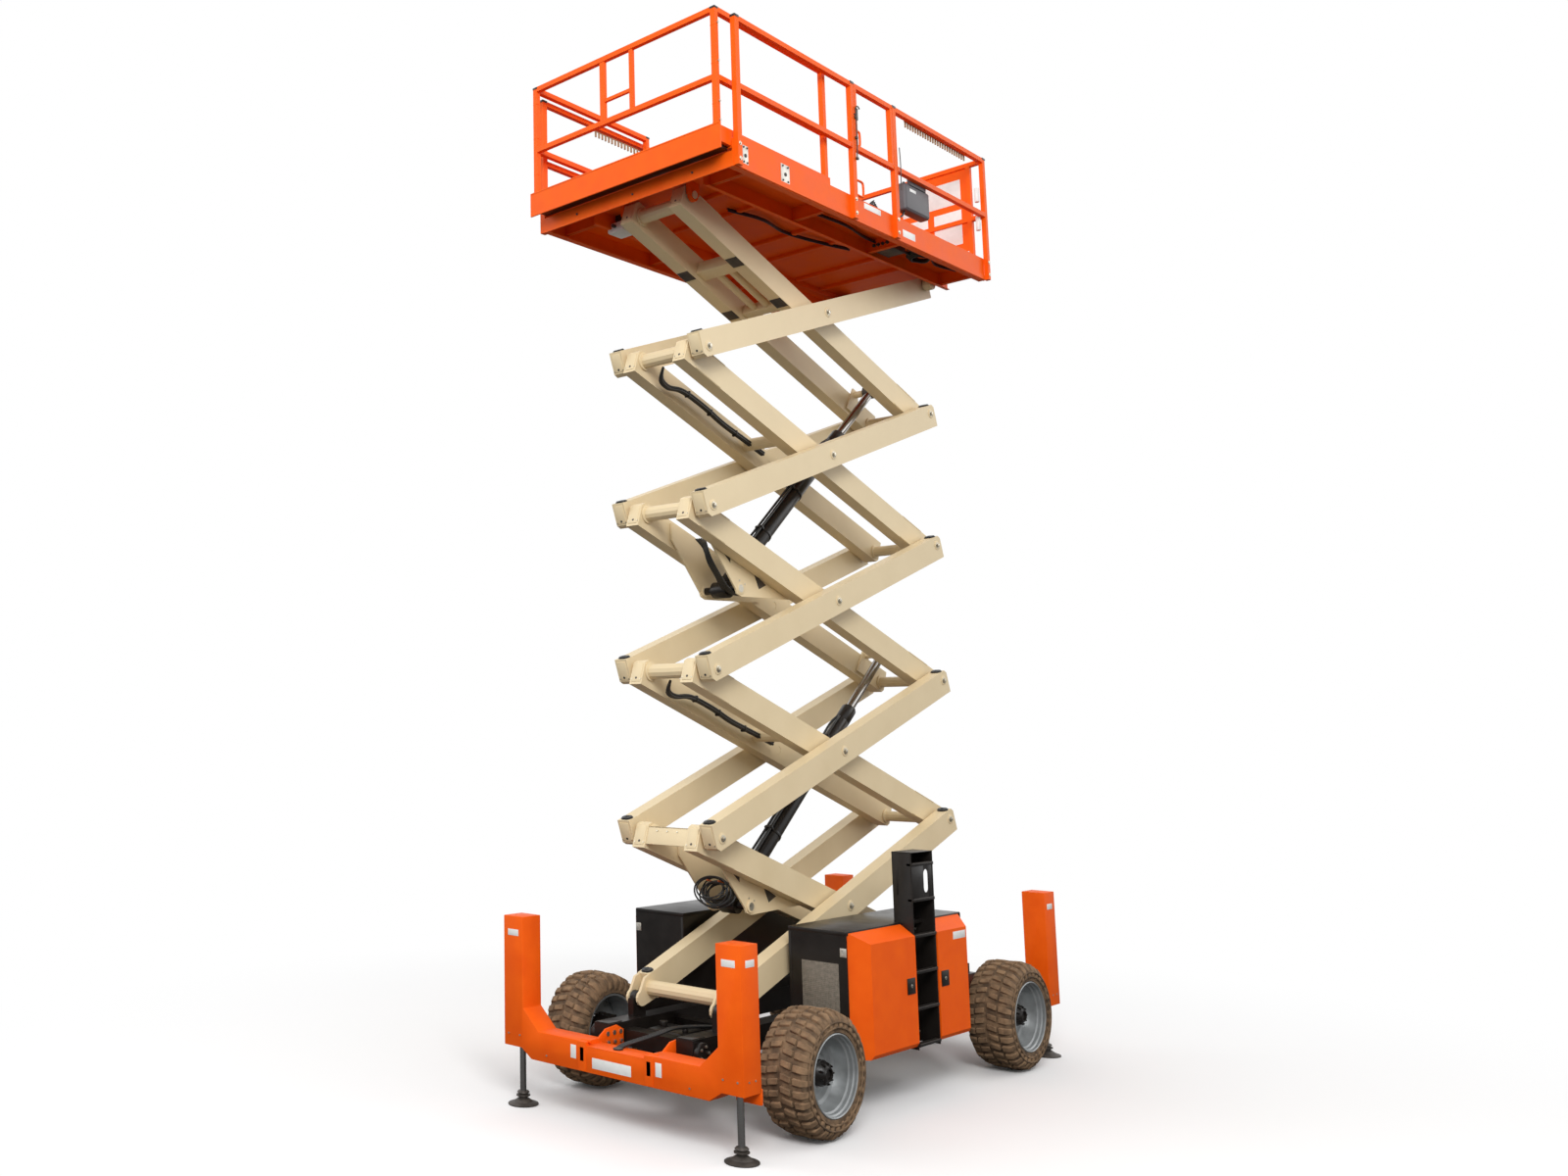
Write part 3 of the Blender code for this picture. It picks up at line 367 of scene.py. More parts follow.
def rim(name, side, centre):
    """Pressed steel rim with a stepped barrel, dished disc, hub and wheel nuts."""
    stud_circle, studs = 0.066, 9
    low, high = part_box(f"{name}_rim")
    inn = min(abs(low.x), abs(high.x))
    out = max(abs(low.x), abs(high.x))
    edge = RIM_RADIUS
    shape = Shape()
    shape.turned([(inn, edge), (inn + 0.02, edge), (inn + 0.03, edge - 0.012),
        (out - 0.1, edge - 0.02), (out - 0.06, edge - 0.008), (out - 0.02, edge - 0.002),
        (out, edge), (out + 0.004, edge - 0.006), (out - 0.001, edge - 0.012),
        (out - 0.02, edge - 0.013), (out - 0.028, edge - 0.022), (out - 0.05, edge - 0.024),
        (out - 0.058, edge - 0.036), (out - 0.11, edge - 0.04), (0.976, 0.212), (0.966, 0.19),
        (0.97, 0.14), (0.992, 0.105), (0.992, 0.086), (0.974, 0.086), (0.954, 0.14), (0.95, 0.195),
        (0.962, edge - 0.036), (inn + 0.03, edge - 0.026), (inn + 0.004, edge - 0.014)],
        (0, centre.y, centre.z), 72, side)
    shape.piece(f"{name}_rim_pressing", SILVER, f"{name}_wheel", (f"{name}_rim",), 22)
    hub = Shape()
    hub.turned([(0.945, 0.035), (0.945, 0.08), (1.006, 0.082), (1.018, 0.086), (1.022, 0.08),
        (1.05, 0.07), (1.066, 0.05), (1.074, 0.044), (1.074, 0.035)], (0, centre.y, centre.z), 48,
        side)
    for k in range(studs):
        a = 2 * math.pi * k / studs
        y, z = centre.y + stud_circle * math.cos(a), centre.z + stud_circle * math.sin(a)
        hub.rod("x", (side * 1.02, y, z), side * 1.055, 0.0105, 6)
        hub.rod("x", (side * 1.05, y, z), side * 1.066, 0.006, 12)
    hub.piece(f"{name}_hub", BLACK, f"{name}_wheel")


for end, _ in ENDS:
    for side, sign in SIDES:
        label = f"{end}_{side}"
        middle = centre_of(f"{label}_tyre")
        tyre(label, sign, middle)
        rim(label, sign, middle)


# ---- jacks ---------------------------------------------------------------------------
def jack(name):
    """Polished jack rod with a collared, dished foot."""
    low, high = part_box(f"{name}_jack_leg")
    c = (low + high) / 2
    rod, foot = shapes(2)
    rod.rod("z", (c.x, c.y, 0.07), high.z - 0.03, 0.0225, 32)
    rod.piece(f"{name}_jack_rod", CHROME, f"{name}_jack")
    # each step of the foot: bottom, top, lower radius, upper radius
    for z0, z1, r0, r1 in ((0.000, 0.008, 0.110, 0.110), (0.008, 0.020, 0.108, 0.075),
                           (0.020, 0.042, 0.072, 0.040), (0.040, 0.060, 0.034, 0.034),
                           (0.058, 0.068, 0.050, 0.050), (0.068, 0.084, 0.034, 0.034),
                           (0.082, 0.094, 0.046, 0.036)):
        foot.rod("z", (c.x, c.y, z0), z1, r0, 40, 0.0015, radius_end=r1)
    foot.block((c.x - 0.07, c.y - 0.07, high.z - 0.05), (c.x + 0.07, c.y + 0.07, high.z))
    foot.piece(f"{name}_jack_foot", STEEL, f"{name}_jack", (f"{name}_jack_leg",))


for end, _ in ENDS:
    for side, _ in SIDES:
        jack(f"{end}_{side}")


# ---- lift cylinders ------------------------------------------------------------------
def cylinder_line(name):
    """Rod eye, base pin and direction of a lift cylinder."""
    eye = Vector(joints[f"{name}_rod_pivot"]["pos_m"])
    way = -Vector(joints[f"{name}_cylinder_stroke"]["axis"]).normalized()
    low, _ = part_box(f"{name}_cylinder_barrel")
    return eye, eye - way * abs((low.z + BARREL_LUG - eye.z) / way.z), way


def lift_cylinder(name):
    """Smooth barrel with gland, base lug and hose port; chromed rod with its eye."""
    eye, base, way = cylinder_line(name)
    barrel = Shape()
    barrel.bar(base, base + way * 2.20, 0.060, 48, 0.003)
    barrel.bar(base + way * 2.12, base + way * 2.279, 0.062, 48, 0.004)
    barrel.bar(base + way * 0.10, base + way * 0.16, 0.062, 48, 0.003)
    barrel.bar(base - Vector((0.068, 0, 0)), base + Vector((0.068, 0, 0)), 0.064, 40, 0.004)
    barrel.bar(base - Vector((0.15, 0, 0)), base + Vector((0.15, 0, 0)), 0.029, 32, 0.003)
    barrel.piece(f"{name}_barrel_tube", BLACK, f"{name}_barrel", (f"{name}_cylinder_barrel",))
    rod = Shape()
    rod.bar(eye - way * 2.2, eye - way * 0.05, 0.0355, 40)
    rod.piece(f"{name}_rod_bar", CHROME, f"{name}_rod", (f"{name}_cylinder_rod",))
    end = Shape()
    end.turned([(-EYE_HALF, 0.033), (-EYE_HALF, 0.061), (EYE_HALF, 0.061), (EYE_HALF, 0.033)], eye, 40)
    end.piece(f"{name}_rod_eye", STEEL, f"{name}_rod")


for name in ("lower", "upper"):
    lift_cylinder(name)


# ---- scissor arm fittings ------------------------------------------------------------
def arm_end_y(level, kind):
    """Ends of an arm along itself; the lowest outer arms stop short at their forks."""
    return (-HALF + 0.13 if (kind, level) == ("outer", 1) else -HALF - CAP), HALF + CAP


def outer_fittings(level):
    """Pin bolts, top bumpers, end plates and wear pads of a pair of outer arms."""
    place = arm_frame(level, "outer")
    steel, rubber, cream = shapes(3, place)
    front, rear = arm_end_y(level, "outer")
    for sign in (1, -1):
        face = sign * OUTER_HIGH
        bolts = [(0, 0)]
        if level > 1:
            bolts.append((-HALF, 0))
        if level < LEVELS:
            bolts.append((HALF, 0))
        for y, z in bolts:
            cream.rod("x", (face, y, z), face + sign * 0.004, 0.04, 36, 0.001)
            steel.rod("x", (face + sign * 0.003, y, z), face + sign * 0.008, 0.024, 28, 0.001)
            steel.rod("x", (face + sign * 0.008, y, z), face + sign * 0.02, 0.016, 6, 0.001)
        middle = sign * (OUTER_LOW + OUTER_HIGH) / 2
        for y in (front + 0.05, rear - 0.07)[:1 if level == LEVELS else 2]:
            top = -SHIFT * y / HALF + DEPTH / 2
            for radius, low, high in ((0.036, -0.001, 0.005), (0.030, 0.004, 0.012)):
                for x in (middle - 0.012, middle + 0.012):
                    rubber.rod("z", (x, y, top + low), top + high, radius, 28, 0.002)
        if level > 1:
            at = -SHIFT * front / HALF
            low, high = sign * (OUTER_LOW + 0.014), sign * (OUTER_HIGH - 0.014)
            cream.block((low, front - 0.004, at - 0.058), (high, front + 0.001, at + 0.082), 0.0015)
            rubber.rod("y", (middle, front - 0.0048, at - 0.04), front - 0.003, 0.009, 16, 0)
            for edge in (low, high):
                x = edge * 0.98 + middle * 0.02
                steel.rod("y", (x, front - 0.006, at - 0.05), front - 0.002, 0.005, 8, 0)
    cream.piece(f"outer_{level}_pads", CREAM, f"outer_{level}")
    steel.piece(f"outer_{level}_bolts", ZINC, f"outer_{level}")
    rubber.piece(f"outer_{level}_bumpers", RUBBER, f"outer_{level}")


def inner_fittings(level):
    """End plates, keeper plates, gussets and wear pads of a pair of inner arms."""
    place = arm_frame(level, "inner")
    steel, dark, cream = shapes(3, place)
    front, rear = arm_end_y(level, "inner")
    for sign in (1, -1):
        middle = sign * (INNER_LOW + INNER_HIGH) / 2
        at = SHIFT * front / HALF
        low, high = sign * (INNER_LOW + 0.014), sign * (INNER_HIGH - 0.014)
        cream.block((low, front - 0.004, at - 0.08), (high, front + 0.001, at + 0.062), 0.0015)
        dark.rod("y", (middle, front - 0.0048, at - 0.052), front - 0.003, 0.009, 16, 0)
        for x in (low, high):
            steel.rod("y", (x * 0.97 + middle * 0.03, front - 0.006, at - 0.06), front - 0.002,
                0.005, 8, 0)
        for y in (front + 0.30, rear - 0.30):
            z = SHIFT * y / HALF
            for dz in (-DEPTH / 2 + 0.004, DEPTH / 2 - 0.004):
                cream.bar((sign * INNER_HIGH, y - 0.16, z + dz),
                    (sign * INNER_HIGH, y + 0.16, z + dz + 0.32 * SHIFT / HALF), 0.004, 8, 0)
    for y, radius in ((HALF, 0.045), (-HALF, 0.055)):
        shift = -SHIFT if (level == LEVELS and y < 0) else 0
        y = y + (0.02 if shift else 0)
        for sign in (1, -1):
            x = sign * INNER_LOW
            cream.rod("x", (x, y, shift), x - sign * 0.014, radius + 0.016, 36, 0.004)
    if level in (1, 3):
        for sign in (1, -1):
            head = 0.184 if level == 1 else 0.1748
            for x0, x1 in ((0.173, head), (0.157, 0.150)):
                cream.rod("x", (sign * x0, BRACKET_Y, BRACKET_Z), sign * x1, 0.046, 36, 0.0005)
            steel.rod("x", (sign * head, BRACKET_Y, BRACKET_Z), sign * (head + 0.0012), 0.03, 30, 0)
            for y in (-0.955, -0.885):
                steel.rod("x", (sign * 0.172, y, -0.2285), sign * 0.1755, 0.008, 6, 0)
            dark.prism([(-0.8, -0.1), (-0.62, -0.12), (-0.7, -0.19)], "x", sign * 0.1722,
                sign * 0.1728, 0)
            dark.prism([(-1.26, -0.09), (-1.12, -0.09), (-1.1, -0.15)], "x", sign * 0.1722,
                sign * 0.1728, 0)
    cream.piece(f"inner_{level}_plates", CREAM, f"inner_{level}")
    steel.piece(f"inner_{level}_bolts", ZINC, f"inner_{level}")
    dark.piece(f"inner_{level}_wear_pads", STEEL, f"inner_{level}")


def front_cross_member():
    """Box plate between the front ends of the lowest inner arms, with its four bolts."""
    place = arm_frame(1, "inner")
    front = -HALF - CAP
    box, bolt = shapes(2, place)
    at = SHIFT * front / HALF
    box.block((-INNER_LOW, front + 0.004, at - 0.07), (INNER_LOW, front + 0.016, at + 0.062), 0.003)
    box.block((-INNER_LOW, front + 0.004, at + 0.05), (INNER_LOW, front + 0.075, at + 0.062), 0.003)
    for x in (-0.09, 0.0, 0.09):
        bolt.rod("y", (x, front - 0.003, at + 0.03), front + 0.004, 0.006, 6, 0)
    box.piece("lowest_cross_plate", CREAM, "inner_1")
    bolt.piece("lowest_cross_bolts", ZINC, "inner_1")


def top_frame():
    """Welded H between the top inner arms, with dark wear plates on their undersides."""
    place = arm_frame(5, "inner")
    frame_part, pad = shapes(2, place)
    frame_part.block((-INNER_LOW, -0.98, -0.075), (INNER_LOW, -0.86, 0.03), 0.006)
    for sign in (1, -1):
        frame_part.rod("y", (sign * 0.06, -0.87, -0.03), -0.3, 0.028, 24, 0.003)
        for y in (-1.02, -0.40):
            z = SHIFT * y / HALF - DEPTH / 2
            pad.block((sign * (INNER_LOW + 0.004), y - 0.06, z - 0.003),
                (sign * (INNER_HIGH - 0.004), y + 0.06, z + 0.001), 0.001)
    frame_part.block((-INNER_LOW, -0.33, -0.065), (INNER_LOW, -0.25, 0.02), 0.006)
    frame_part.piece("top_arm_frame", CREAM, "inner_5")
    pad.piece("top_arm_wear_plates", STEEL, "inner_5")


def arm_hoses(level):
    """Bundle of hoses that comes off the cross tube and runs down inside an inner arm."""
    place = arm_frame(level, "inner")
    bundle, clips = shapes(2, place)
    for k in range(4):
        x = -0.118 + 0.018 * (k % 2)
        dz = 0.018 * (k // 2)
        route = [(-0.02, -HALF + 0.05, -0.075 + dz), (x + 0.03, -HALF + 0.12, -0.12 + dz),
            (x, -HALF + 0.25, -0.11 + dz), (x, -HALF + 0.42, -0.05 + dz),
            (x, -HALF + 0.7, -0.035 + dz), (x, -HALF + 0.95, -0.045 + dz), (x, -0.45, -0.03 + dz),
            (x, -0.2, -0.02 + dz)]
        bundle.pipe([place @ Vector(p) for p in route], 0.0100)
    for y in (-1.25, -0.95, -0.6):
        clips.block((-0.131, y - 0.01, -0.06), (-0.087, y + 0.01, -0.006), 0.008)
    bundle.piece(f"inner_{level}_hoses", RUBBER, f"inner_{level}")
    clips.piece(f"inner_{level}_hose_clips", BLACK, f"inner_{level}")


def hose_coil():
    """Spare turns of hose tied in a loose coil between the lowest cylinder brackets."""
    place = arm_frame(1, "inner")
    coil, tie = shapes(2)
    centre = Vector((0.0, -1.13, -0.245))
    for k in range(9):
        radius = 0.088 + 0.014 * (k * 2 % 5)
        drift = Vector((0.012 * math.cos(2.1 * k), 0.014 * (k - 4), 0.012 * math.sin(1.7 * k)))
        points = []
        for i in range(19):
            a = 2 * math.pi * i / 18
            points.append(place @ (centre + drift + Vector((radius * math.cos(a),
                0.03 * math.sin(a + k), radius * 0.74 * math.sin(a)))))
        coil.pipe(points, 0.0065)
    for x in (-0.10, 0.0):
        tie.bar(place @ (centre + Vector((x + 0.05, -0.06, 0.07))),
            place @ (centre + Vector((x + 0.05, 0.07, 0.08))), 0.006, 10)
    coil.piece("hose_coil", RUBBER, "inner_1")
    tie.piece("hose_coil_ties", ORANGE_HOSE, "inner_1")


def bracket_hoses():
    """Hoses looped round the upper cylinder's base bracket."""
    place = arm_frame(3, "inner")
    loops = Shape()
    for k in range(6):
        d = 0.017 * k
        loops.pipe([place @ Vector(p) for p in ((0.05 - d, -1.3, -0.02),
            (0.128 - d, -1.37 + d, -0.1), (0.146 - d, -1.31 + d, -0.19),
            (0.146 - d, -1.15 + d * 0.5, -0.275 + d * 0.3), (0.142 - d, -0.98, -0.325 + d * 0.2),
            (0.14 - d, -0.8, -0.29 + d * 0.2), (0.13 - d, -0.62, -0.17 + d * 0.2),
            (0.12 - d, -0.45, -0.06 + d * 0.2))], 0.0058)
    loops.piece("bracket_hoses", RUBBER, "inner_3")


for level in range(1, LEVELS + 1):
    outer_fittings(level)
    inner_fittings(level)
front_cross_member()
top_frame()
for level in (2, 4):
    arm_hoses(level)
hose_coil()
bracket_hoses()


# ---- beam and ladder shells ----------------------------------------------------------
def beam_shell(end, out):
    """Jack beam with softened edges, set back a little behind its bosses and labels."""
    low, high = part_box(f"{end}_jack_beam")
    front = (high.y if out > 0 else low.y) - out * BEAM_SET_BACK
    back = front + out * (BEAM_SET_BACK - BEAM_DEPTH)
    shell = Shape()
    half = [(0, 0.35), (0.77, 0.35), (0.865, 0.415), (1.0345, 0.415), (1.0345, 1.328),
        (0.845, 1.328), (0.845, 0.69), (0.7, 0.55), (0.27, 0.55), (0.27, 0.52), (0, 0.52)]
    outline = half + [(-x, z) for x, z in reversed(half[1:-1])]
    shell.prism(outline, "y", min(front, back), max(front, back), 0.004)
    for side in (1, -1):
        plate = [(0.15, 0.5), (0.15, 0.545), (0.24, 0.6), (0.36, 0.612), (0.43, 0.575),
            (0.43, 0.46), (0.19, 0.46)]
        shell.prism([(front - out * y, z) for y, z in plate], "x", side * 0.276, side * 0.289,
            0.002)
        shell.block((side * 0.846, back + out * 0.01, 0.34),
            (side * 1.0345, back - out * 0.012, 0.44), 0.003)
    shell.piece(f"{end}_beam_shell", ORANGE, "chassis", (f"{end}_jack_beam",))


def ladder_shell():
    """Folded channel ladder with a slotted hand plate near its top."""
    low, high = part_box("left_ladder")
    shell = Shape()
    x0, x1, plate = low.x, high.x, 0.006
    shell.block((x0, low.y, low.z), (x0 + plate, high.y, high.z), 0.001)
    shell.block((x0, low.y, low.z), (x1 - 0.012, low.y + plate, high.z), 0.002)
    shell.block((x0, high.y - plate, low.z), (x1 - 0.012, high.y, 1.46), 0.002)
    shell.block((x0, high.y - plate, 1.67), (x1 - 0.012, high.y, high.z), 0.002)
    shell.block((x0, high.y - plate, 1.45), (0.915, high.y, 1.68), 0.002)
    shell.block((x0, low.y, high.z - plate), (x1 - 0.012, high.y, high.z), 0.002)
    for k in range(6):
        z = low.z + 0.02 + 0.255 * k
        shell.block((x1 - 0.05, low.y, z), (x1 - 0.001, high.y, z + 0.022), 0.003)
    face = (x1 - 0.018, x1 - 0.012)
    slot_y, slot_z, half_w, half_h, top, bottom = 0.115, 1.565, 0.034, 0.085, 1.684, 1.446
    shell.block((face[0], low.y, bottom), (face[1], slot_y - half_w, top), 0.0005)
    shell.block((face[0], slot_y + half_w, bottom), (face[1], high.y, top), 0.0005)
    for sign in (1, -1):
        edge = slot_z + sign * (half_h - half_w)
        arc = [(slot_y + half_w * math.cos(a), edge + sign * half_w * math.sin(a)) for a in (math.pi
            * k / 10 for k in range(11))]
        cap = top if sign > 0 else bottom
        shell.prism(arc + [(slot_y - half_w, cap), (slot_y + half_w, cap)], "x", *face)
    shell.block((x0 + 0.03, low.y - 0.0015, 1.47), (x0 + 0.045, low.y + 0.001, 1.66), 0.001)
    shell.piece("ladder_shell", BLACK, "chassis", ("left_ladder",))


for end, out in ENDS:
    beam_shell(end, out)
ladder_shell()


# ---- jack beams ----------------------------------------------------------------------
def beam_fittings(end, out):
    """Welded bosses, blank labels and bolts of a jack beam."""
    label_front, label_back = 0.0032, 0.006    # behind the beam's bosses
    low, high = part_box(f"{end}_jack_beam")
    face = low.y if out < 0 else high.y
    paint, label, bolt = shapes(3)
    for side in (1, -1):
        x = side * 0.29
        paint.block((x - 0.035, face, 0.352), (x + 0.035, face - out * 0.03, 0.549), 0.0035, 3)
        paint.rod("x", (x - side * 0.045, face + out * -0.05, 0.545), x + side * 0.045, 0.012, 20,
            0.002)
        label.block((x - 0.016, face, 0.42), (x + 0.016, face - out * 0.004, 0.51), LABEL_EDGE)
        label.block((side * 0.37 - 0.025, face - out * label_front, 0.425),
            (side * 0.37 + 0.025, face - out * label_back, 0.515), LABEL_EDGE)
        label.block((side * 0.94 - 0.052, face - out * label_front, 1.19),
            (side * 0.94 + 0.052, face - out * label_back, 1.235), LABEL_EDGE)
        label.block((side * 1.0345, face - out * 0.055, 1.19),
            (side * 1.0358, face - out * 0.15, 1.235), LABEL_EDGE)
        for bx, bz in ((0.62, 0.40), (0.88, 0.50), (0.99, 0.50)):
            bolt.rod("y", (side * bx, face - out * label_back, bz), face - out * LABEL_EDGE, 0.007, 12)
        for y in (0.06, 0.13):
            bolt.rod("x", (side * 1.033, face - out * y, 0.5), side * 1.0372, 0.007, 12)
        for y in (0.26, 0.33, 0.40):
            at = face - out * y
            bolt.rod("x", (side * 0.2765, at, 0.505 - 0.02 * (y - 0.33)), side * 0.262, 0.014, 6,
                0.001)
            bolt.rod("x", (side * 0.2768, at, 0.565), side * 0.27, 0.016, 24)
    label.block((-0.20, face - out * label_front, 0.385), (0.14, face - out * label_back, 0.455), LABEL_EDGE)
    paint.block((-0.255, face - out * 0.004, 0.5195), (0.255, face - out * 0.16, 0.524), 0.002)
    paint.piece(f"{end}_beam_bosses", ORANGE, "chassis")
    label.piece(f"{end}_beam_labels", LABEL, "chassis")
    bolt.piece(f"{end}_beam_bolts", ZINC, "chassis")


for end, out in ENDS:
    beam_fittings(end, out)


def beam_hoses():
    """Hoses from the middle of the front beam back into the chassis."""
    hose, guard = shapes(2)
    for k in range(3):
        d = 0.016 * k
        hose.pipe([(-0.06 + d, -2.17, 0.522), (-0.05 + d, -2.09, 0.545), (0.01 + d, -1.98, 0.575),
            (0.05 + d, -1.85, 0.6), (0.06 + d, -1.68, 0.615), (0.1 + d, -1.45, 0.6),
            (0.16 + d * 0.5, -1.2, 0.57), (0.19 + d * 0.3, -0.9, 0.53), (0.2 + d * 0.3, -0.4, 0.5),
            (0.2, 0.2, 0.49)], 0.0095)
    guard.rod("z", (-0.03, -2.17, 0.519), 0.536, 0.034, 28, 0.003)
    hose.piece("front_beam_hoses", RUBBER, "chassis")
    guard.piece("front_beam_grommet", RUBBER, "chassis")


beam_hoses()


# ---- chassis fittings ----------------------------------------------------------------
def chassis_fittings():
    """Motor housings, flange bolts, rail edges and straps at the front of the chassis."""
    motor_y, motor_z = 1.88, 0.535
    iron, bolt = shapes(2)
    for side in (1, -1):
        iron.rod("x", (side * 0.43, -motor_y, motor_z), side * 0.47, 0.07, 36, 0.006)
        iron.block((side * 0.30, -1.945, 0.618), (side * 0.42, -1.80, 0.626), 0.003)
        for k in range(5):
            a = 2 * math.pi * k / 5
            y, z = -motor_y + 0.045 * math.cos(a), motor_z + 0.045 * math.sin(a)
            bolt.rod("x", (side * 0.468, y, z), side * 0.482, 0.01, 6, 0.001)
        for y in (-1.45, -1.24):
            iron.block((side * 0.285, y - 0.03, 0.355), (side * 0.435, y + 0.03, 0.372), 0.003)
            for x in (0.31, 0.41):
                bolt.rod("z", (side * x, y, 0.35), 0.385, 0.009, 6)
        iron.rod("x", (side * 0.34, -1.55, 0.745), side * 0.3925, 0.052, 36, 0.004)
        bolt.rod("x", (side * 0.423, -1.55, 0.745), side * 0.435, 0.02, 6, 0.002)
        iron.rod("y", (side * 0.431, -1.1, 0.5), 1.1, 0.011, 12)
    iron.block((-0.20, -1.66, 0.50), (0.20, -1.40, 0.575), 0.02)
    iron.rod("z", (-0.15, -1.52, 0.575), 0.61, 0.03, 24, 0.003)
    iron.rod("z", (0.1, -1.6, 0.575), 0.6, 0.022, 24, 0.003)
    iron.piece("chassis_castings", BLACK, "chassis")
    bolt.piece("chassis_bolts", ZINC, "chassis")


chassis_fittings()


def grille(sign, face):
    """Crossed wires over a plain sheet in the front of the left bay."""
    mesh_part = Shape()
    x0, x1, z0, z1, step = 0.575, 0.868, 0.66, 1.05, 0.0125
    mesh_part.block((sign * x0, face - 0.0015, z0), (sign * x1, face + 0.001, z1), 0.0005)
    x = x0
    while x <= x1:
        mesh_part.rod("z", (sign * x, face - 0.002, z0), z1, 0.0016, 4)
        x += step
    z = z0
    while z <= z1:
        mesh_part.rod("x", (sign * x0, face - 0.0022, z), sign * x1, 0.0016, 4)
        z += step
    mesh_part.piece("left_grille", GRILLE, "chassis")


def enclosure_fittings(side, sign):
    """Hinge plates, cover edge, seams and the left grille of one equipment bay."""
    low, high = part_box(f"{side}_enclosure")
    inn, out = sign * 0.47, sign * 0.88
    trim, bolt = shapes(2)
    trim.block((inn - sign * 0.003, low.y - 0.0025, high.z - 0.026),
        (out + sign * 0.052, high.y + 0.0025, high.z + 0.003), 0.003)
    for y, out_y in ((low.y, -1), (high.y, 1)):
        trim.block((inn, y, 0.46), (inn + sign * 0.02, y + out_y * 0.0025, high.z - 0.03), 0.001)
    for z in (0.52, 1.13):
        bolt.block((sign * 0.884, low.y - 0.003, z - 0.03), (sign * 0.934, low.y, z + 0.03), 0.001)
        for dz in (-0.017, 0.017):
            bolt.rod("y", (sign * 0.9, low.y - 0.008, z + dz), low.y - 0.002, 0.007, 6)
            bolt.rod("y", (sign * 0.9, high.y + 0.006, z + dz), high.y - 0.002, 0.007, 6)
    trim.piece(f"{side}_enclosure_trim", BLACK, "chassis")
    if side == "left":
        grille(sign, low.y)
    bolt.piece(f"{side}_hinge_plates", PLATE, "chassis")


for side, sign in SIDES:
    enclosure_fittings(side, sign)


def door_fittings(sign, name, edge, way):
    """Square black latch with its round key, and the rear doors' blank label."""
    latch, key, label = shapes(3)
    x = sign * DOOR_X
    y = edge - way * 0.085
    latch.block((x, y - 0.055, 0.79), (x + sign * 0.006, y + 0.055, 0.902), 0.003)
    latch.block((x + sign * 0.005, y - 0.044, 0.801), (x + sign * 0.0065, y + 0.044, 0.891), 0.001)
    key.rod("x", (x + sign * 0.005, y, LATCH_Z), x + sign * 0.01, 0.013, 28, 0.001)
    latch.rod("x", (x + sign * 0.009, y, LATCH_Z), x + sign * 0.0105, 0.005, 12)
    latch.piece(f"{name}_latch", BLACK, name)
    key.piece(f"{name}_key", ZINC, name)
    if name.endswith("rear_door"):
        label.block((x, 0.46, 1.11), (x + sign * 0.0006, 0.65, 1.165), LABEL_EDGE)
        label.piece(f"{name}_label", LABEL, name)


for side, sign in SIDES:
    door_fittings(sign, f"{side}_front_door", -0.104, 1)
    door_fittings(sign, f"{side}_rear_door", 0.224, -1)


def ladder_fittings():
    """Worn rung edges, folded flange edges and bolts of the ladder."""
    low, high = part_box("left_ladder")
    tread, rim_part, bolt = shapes(3)
    for k in range(6):
        z = low.z + 0.02 + 0.255 * k
        tread.rod("y", (high.x - 0.0015, low.y + 0.006, z + 0.02), high.y - 0.006, 0.0028, 12)
        for i in range(9):
            y = low.y + 0.03 + (high.y - low.y - 0.06) * i / 8
            tread.rod("z", (high.x - 0.026, y, z + 0.021), z + 0.0235, 0.006, 8)
    for y in (low.y, high.y):
        rim_part.rod("z", (high.x - 0.013, y, low.z), high.z, 0.0045, 12)
    for y in (low.y + 0.03, high.y - 0.03):
        for z in (0.46, 1.20):
            bolt.rod("x", (0.886, y, z), 0.893, 0.009, 6)
    tread.piece("ladder_tread_edges", STEEL, "chassis")
    rim_part.piece("ladder_edges", BLACK, "chassis")
    bolt.piece("ladder_bolts", ZINC, "chassis")


ladder_fittings()


def bay_contents():
    """Engine block details and bay hoses that show when the doors are open."""
    low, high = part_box("engine")
    block, hose = shapes(2)
    block.block((low.x + 0.02, low.y + 0.02, high.z), (high.x - 0.02, high.y - 0.1, high.z + 0.03),
        0.012)
    for k in range(4):
        y = low.y + 0.12 + 0.14 * k
        block.rod("z", (low.x + 0.14, y, high.z + 0.02), high.z + 0.055, 0.035, 28, 0.004)
        block.rod("x", (low.x - 0.002, y, 0.75), low.x + 0.01, 0.03, 24, 0.003)
    block.piece("engine_covers", BLACK, "chassis")
    for k in range(3):
        hose.pipe([(0.6 + 0.06 * k, -0.16, 0.95 - 0.06 * k), (0.62 + 0.06 * k, 0.0, 0.98),
            (0.6, 0.2, 0.85 - 0.07 * k), (0.55, 0.42, 0.7 - 0.06 * k),
            (0.49, 0.6, 0.62 - 0.05 * k)], 0.011)
        hose.pipe([(-0.6 - 0.06 * k, 0.13, 0.9 - 0.06 * k), (-0.62, 0.3, 0.92 - 0.05 * k),
            (-0.57, 0.45, 0.75 - 0.05 * k), (-0.49, 0.62, 0.6)], 0.011)
    hose.piece("bay_hoses", RUBBER, "chassis")


bay_contents()


# ---- platform ------------------------------------------------------------------------
RAIL_TOP, MID_TOP = DECK + 0.965, DECK + 0.46
SKIRT_LOW, SKIRT_HIGH = TOP.z - 0.04, TOP.z + 0.16
RAIL_X = (0.9053, 0.9443)
LEFT_POSTS, RIGHT_POSTS = (-1.84, -0.31, 0.33, 1.88), (-1.84, 1.88)


